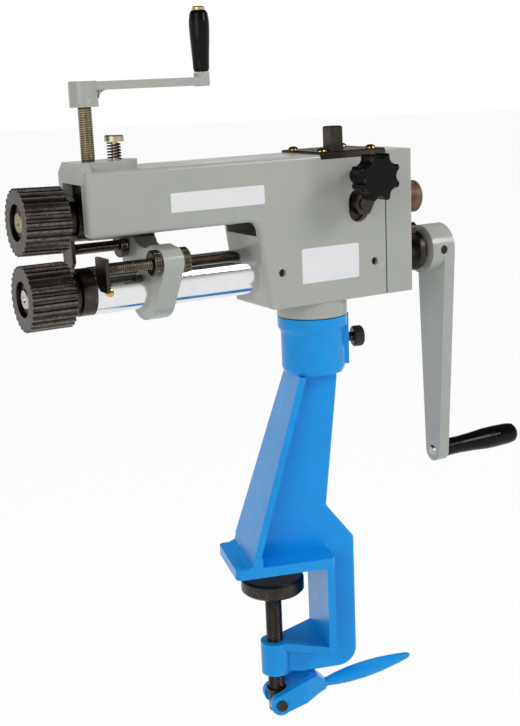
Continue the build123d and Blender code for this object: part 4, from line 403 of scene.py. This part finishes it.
# the dark core gives painted shade in the roots of the pressure screw's thread
paint("pressure_screw", thread_root_shade)


# ------------------------------------------------------------------ small pieces
def alone(piece):
    """Makes one piece the only one selected, and the active one."""
    bpy.ops.object.select_all(action="DESELECT")
    piece.select_set(True)
    bpy.context.view_layer.objects.active = piece


def started(primitive, **settings):
    """Adds a primitive with nothing else selected, and gives its object."""
    bpy.ops.object.select_all(action="DESELECT")
    primitive(**settings)
    return bpy.context.object


def settle(piece):
    """Puts a piece's place, turn and scale into its mesh."""
    alone(piece)
    bpy.ops.object.transform_apply(location=True, rotation=True, scale=True)


def pick(piece, kind, wanted):
    """Opens a piece in edit mode with the corners or edges that pass a test selected."""
    alone(piece)
    bpy.ops.object.mode_set(mode="EDIT")
    bpy.ops.mesh.select_mode(type=kind)
    bpy.ops.mesh.select_all(action="DESELECT")
    bpy.ops.object.mode_set(mode="OBJECT")
    for item in {"VERT": piece.data.vertices, "EDGE": piece.data.edges}[kind]:
        item.select = wanted(item)
    bpy.ops.object.mode_set(mode="EDIT")


def draw_out(across, along):
    """Extrudes what is selected by a step in millimetres, across X and along Z."""
    bpy.ops.mesh.extrude_region_move(
        TRANSFORM_OT_translate={"value": (across * MM, 0, along * MM)}
    )


def hang(piece, name, body, finish):
    """Names a finished piece, gives it its finish and hangs it on its body."""
    settle(piece)
    piece.name = name
    piece.data.name = name
    piece.data.materials.clear()
    piece.data.materials.append(finish.material)
    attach(piece, body)
    return piece


def thread(start, turn, length, radius, pitch, rise):
    """The crests of a screw thread, wound up a rod of this radius from its start point."""
    crest = started(bpy.ops.mesh.primitive_circle_add, vertices=3, radius=pitch * MM)
    pick(crest, "VERT", lambda corner: corner.index > 0)
    bpy.ops.mesh.delete(type="VERT")
    bpy.ops.object.mode_set(mode="OBJECT")
    crest.data.vertices[0].co = ((radius - THREAD_SUNK) * MM, 0, 0)
    pick(crest, "VERT", lambda corner: True)
    draw_out(rise + THREAD_SUNK, FLANK_SHARE * pitch)
    draw_out(0, CREST_SHARE * pitch)
    draw_out(-rise - THREAD_SUNK, FLANK_SHARE * pitch)
    bpy.ops.object.mode_set(mode="OBJECT")
    winding = crest.modifiers.new("winding", "SCREW")
    winding.axis = "Z"
    winding.angle = 2 * math.pi
    winding.screw_offset = pitch * MM
    winding.iterations = int(length / pitch)
    winding.steps = THREAD_STEPS
    winding.render_steps = THREAD_STEPS
    winding.use_smooth_shade = False
    winding.use_merge_vertices = True
    alone(crest)
    bpy.ops.object.modifier_apply(modifier="winding")
    bpy.ops.object.mode_set(mode="EDIT")
    bpy.ops.mesh.select_all(action="SELECT")
    bpy.ops.mesh.remove_doubles(threshold=SAME_POINT)
    bpy.ops.mesh.normals_make_consistent(inside=False)
    bpy.ops.object.mode_set(mode="OBJECT")
    crest.rotation_euler = turn
    crest.location = start
    return crest


def knurl(start, turn, radius, width, teeth, rows, rise):
    """A knurled band round a nut or head: rows of small raised points."""
    band = started(bpy.ops.mesh.primitive_circle_add, vertices=teeth, radius=radius * MM)
    bpy.ops.object.mode_set(mode="EDIT")
    bpy.ops.mesh.select_all(action="SELECT")
    for row in range(rows):
        draw_out(0, width / rows)
    bpy.ops.mesh.select_all(action="SELECT")
    bpy.ops.mesh.normals_make_consistent(inside=False)
    bpy.ops.mesh.poke(offset=rise * MM)
    bpy.ops.object.mode_set(mode="OBJECT")
    band.rotation_euler = turn
    band.location = start
    settle(band)
    return band


def together(pieces):
    """Joins several settled pieces into one."""
    alone(pieces[0])
    for piece in pieces:
        piece.select_set(True)
    bpy.ops.object.join()
    return bpy.context.object


THREAD_STEPS = 28
THREAD_SUNK = 0.12
FLANK_SHARE = 0.42
CREST_SHARE = 0.12
SAME_POINT = 0.000001
UPRIGHT = (0, 0, 0)
TO_THE_REAR = (0, math.radians(90), 0)

PRESSURE_FOOT = spot(-195, 0, 364.8)
PRESSURE_THREAD = {"length": 39.5, "radius": 5.0, "pitch": 1.65, "rise": 0.45}
hang(
    thread(PRESSURE_FOOT, UPRIGHT, **PRESSURE_THREAD),
    "pressure_screw_thread", "pressure", zinc,
)
CLAMP_FOOT = Vector((0, 0, -122.6)) * MM
CLAMP_THREAD = {"length": 88.5, "radius": 7.0, "pitch": 2.2, "rise": 0.5}
hang(
    thread(CLAMP_FOOT, UPRIGHT, **CLAMP_THREAD),
    "clamp_screw_thread", "screw", black_oxide,
)

# each guide rod's axis, Y and height; the same stations serve both rods
GUIDE_RODS = {"near": (-46.578, 286.689), "far": (16.917, 294.71)}
ROD_FRONT = -202.6
ROD_THREAD = {"length": 37.5, "radius": 4.0, "pitch": 1.5, "rise": 0.35}
NUT_FRONTS = (-164.0, -139.8)
NUT_KNURL = {"radius": 9.6, "width": 5.8, "teeth": 28, "rows": 3, "rise": 0.85}


def on_rod(side, station):
    """A point of one guide rod's axis, in metres."""
    return Vector((SWIVEL.x + station, *GUIDE_RODS[side])) * MM


for side in GUIDE_RODS:
    hang(
        thread(on_rod(side, ROD_FRONT), TO_THE_REAR, **ROD_THREAD),
        side + "_rod_thread", side + "_fence_body", crest_wear_and_glint,
    )
    bands = [knurl(on_rod(side, front), TO_THE_REAR, **NUT_KNURL) for front in NUT_FRONTS]
    hang(together(bands), side + "_nut_knurls", side + "_nuts", crest_wear_and_glint)

# the socket's thumb screw points out of the stand's casting, which is turned by STAND_TURN
LOCK_REACH = 36.9
LOCK_HEIGHT = 198
LOCK_KNURL = {"radius": 8.6, "width": 7.2, "teeth": 26, "rows": 4, "rise": 0.7}
lock_start = spot(
    LOCK_REACH * math.cos(STAND_TURN), LOCK_REACH * math.sin(STAND_TURN), LOCK_HEIGHT
)
hang(
    knurl(lock_start, (0, math.radians(90), STAND_TURN), **LOCK_KNURL),
    "socket_lock_knurl", "socket_lock", black_oxide,
)

HEAD_RADIUS = 4.6
HEAD_HEIGHT = 3.0
RECESS_LONG = 4.4
RECESS_WIDE = 0.95
RECESS_TALL = 2.6
SMOOTH_BELOW = math.radians(40)
# degrees: the heads stand at uneven turns, as screws driven home by hand do
LEAST_TURN = 20
TURN_PER_MM = 31
TURN_SPREAD = 60


def cross_head(place):
    """A pan head with a cross recess, its seat at the given place."""
    head = started(
        bpy.ops.mesh.primitive_uv_sphere_add, segments=32, ring_count=16, radius=HEAD_RADIUS * MM
    )
    bpy.ops.object.mode_set(mode="EDIT")
    bpy.ops.mesh.select_all(action="SELECT")
    bpy.ops.mesh.bisect(plane_co=(0, 0, 0), plane_no=(0, 0, 1), clear_inner=True, use_fill=True)
    bpy.ops.object.mode_set(mode="OBJECT")
    head.scale = (1, 1, HEAD_HEIGHT / HEAD_RADIUS)
    settle(head)
    for long_x, long_y in ((RECESS_LONG, RECESS_WIDE), (RECESS_WIDE, RECESS_LONG)):
        slot_cutter = started(
            bpy.ops.mesh.primitive_cube_add, size=MM, location=(0, 0, HEAD_HEIGHT * MM)
        )
        slot_cutter.scale = (long_x, long_y, RECESS_TALL)
        settle(slot_cutter)
        alone(head)
        recess = head.modifiers.new("recess", "BOOLEAN")
        recess.operation = "DIFFERENCE"
        recess.solver = "EXACT"
        recess.object = slot_cutter
        bpy.ops.object.modifier_apply(modifier="recess")
        alone(slot_cutter)
        bpy.ops.object.delete()
    alone(head)
    bpy.ops.object.shade_smooth_by_angle(angle=SMOOTH_BELOW)
    turn = LEAST_TURN + TURN_PER_MM * place.x / MM % TURN_SPREAD
    head.rotation_euler = (0, 0, math.radians(turn))
    head.location = place
    settle(head)
    return head


COVER_SCREWS = [(x, y) for x in (0.0, 49.0) for y in (-22.0, 22.0)]
COVER_TOP = 360.02
heads = [cross_head(spot(x, y, COVER_TOP)) for x, y in COVER_SCREWS]
cover_heads = hang(together(heads), "cover_screw_heads", "head", brass)
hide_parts("top_cover_screws")

LABEL_THICK = 0.16
LABEL_CORNER = 1.4


def blank_label(name, left, right, low, high):
    """A bare stuck-on label with rounded corners, flat on the near side of the head."""
    middle = spot((left + right) / 2, HEAD_SIDE - LABEL_THICK / 2, (low + high) / 2)
    label = started(bpy.ops.mesh.primitive_cube_add, size=MM, location=middle)
    label.scale = (right - left, LABEL_THICK, high - low)
    settle(label)

    def is_corner(edge):
        first, second = (label.data.vertices[n].co for n in edge.vertices)
        return abs(first.y - second.y) > LABEL_THICK * MM / 2

    pick(label, "EDGE", is_corner)
    bpy.ops.mesh.bevel(offset=LABEL_CORNER * MM, segments=5, affect="EDGES")
    bpy.ops.object.mode_set(mode="OBJECT")
    return hang(label, name, "head", label_white)


blank_label("bare_strip_label", left=-142.5, right=-60, low=323, high=338)
blank_label("bare_plate_label", left=-27, right=29, low=254, high=283)


# ------------------------------------------------------------------ stage
FLOOR_WHITE = 0.94
FLOOR_SIZE = 60
# the clamp lever swings and goes down below its rest place, so the floor leaves it room
LEVER_ROOM = 0.15
FLOOR_Z = cad_bounds[0][2] - LEVER_ROOM
floor = started(bpy.ops.mesh.primitive_plane_add, size=FLOOR_SIZE, location=(0, 0, FLOOR_Z))
floor.name = "studio_floor"
studio_white = Finish("studio_white", (0.9, 0.9, 0.9), 0.9)
paper = studio_white.tree
glow = paper.nodes.new("ShaderNodeEmission")
glow.inputs["Color"].default_value = (1, 1, 1, 1)
glow.inputs["Strength"].default_value = 1.0
sight = paper.nodes.new("ShaderNodeLightPath")
seen_floor = (
    Signal(studio_white, sight.outputs["Is Camera Ray"])
    .most(Signal(studio_white, sight.outputs["Is Glossy Ray"]))
    .most(Signal(studio_white, sight.outputs["Is Transmission Ray"]))
)
whitened = paper.nodes.new("ShaderNodeMixShader")
paper.links.new((seen_floor * FLOOR_WHITE).socket, whitened.inputs[0])
paper.links.new(studio_white.shader.outputs[0], whitened.inputs[1])
paper.links.new(glow.outputs[0], whitened.inputs[2])
paper.links.new(whitened.outputs[0], paper.nodes["Material Output"].inputs[0])
floor.data.materials.append(studio_white.material)

world = bpy.data.worlds.new("studio_world")
bpy.context.scene.world = world
world.use_nodes = True
sky = world.node_tree
# strength of the sky: for diffuse light, and in mirrors from the horizon up to the zenith
SKY_LIGHT = 0.36
SKY_MIRRORED = {"From Min": 0.0, "From Max": 0.38, "To Min": 0.95, "To Max": 0.03}


def white_sky(node, strength):
    """Sets up a white Background node of a fixed strength."""
    node.inputs["Color"].default_value = (1, 1, 1, 1)
    node.inputs["Strength"].default_value = strength
    return node


def sky_choice(factor, first, second):
    """Mixes two skies by the kind of ray."""
    mixed = sky.nodes.new("ShaderNodeMixShader")
    for socket, source in zip(mixed.inputs, (factor, first.outputs[0], second.outputs[0])):
        sky.links.new(source, socket)
    return mixed


lighting = white_sky(sky.nodes["Background"], SKY_LIGHT)
backdrop = white_sky(sky.nodes.new("ShaderNodeBackground"), 1.0)
mirrored = white_sky(sky.nodes.new("ShaderNodeBackground"), 1.0)
direction = sky.nodes.new("ShaderNodeTexCoord")
heading = sky.nodes.new("ShaderNodeSeparateXYZ")
fall = sky.nodes.new("ShaderNodeMapRange")
for socket, value in SKY_MIRRORED.items():
    fall.inputs[socket].default_value = value
sky.links.new(direction.outputs["Generated"], heading.inputs[0])
sky.links.new(heading.outputs["Z"], fall.inputs["Value"])
sky.links.new(fall.outputs["Result"], mirrored.inputs["Strength"])
ray = sky.nodes.new("ShaderNodeLightPath")
shown = sky.nodes.new("ShaderNodeMath")
shown.operation = "MAXIMUM"
sky.links.new(ray.outputs["Is Camera Ray"], shown.inputs[0])
sky.links.new(ray.outputs["Is Transmission Ray"], shown.inputs[1])
reflected = sky_choice(ray.outputs["Is Glossy Ray"], lighting, mirrored)
whole_sky = sky_choice(shown.outputs[0], reflected, backdrop)
sky.links.new(whole_sky.outputs[0], sky.nodes["World Output"].inputs[0])

LAMP_AIM = Vector((0, 0, 0.2))


def lamp(name, place, size, power):
    """A soft square studio lamp, aimed at the middle of the object."""
    bpy.ops.object.light_add(type="AREA", location=place)
    light = bpy.context.object
    light.name = name
    light.data.size = size
    light.data.energy = power
    light.rotation_euler = (LAMP_AIM - Vector(place)).to_track_quat("-Z", "Y").to_euler()
    return light


lamp("key_lamp", (1.5, -1.9, 1.6), size=0.9, power=25)
lamp("fill_lamp", (-1.9, -1.3, 1.0), size=1.4, power=16)
top_lamp = lamp("top_lamp", (0.1, 0.5, 2.2), size=1.4, power=15)
# the chrome and the black plastic don't mirror this lamp
top_lamp.visible_glossy = False

bpy.context.scene.view_settings.view_transform = "Standard"
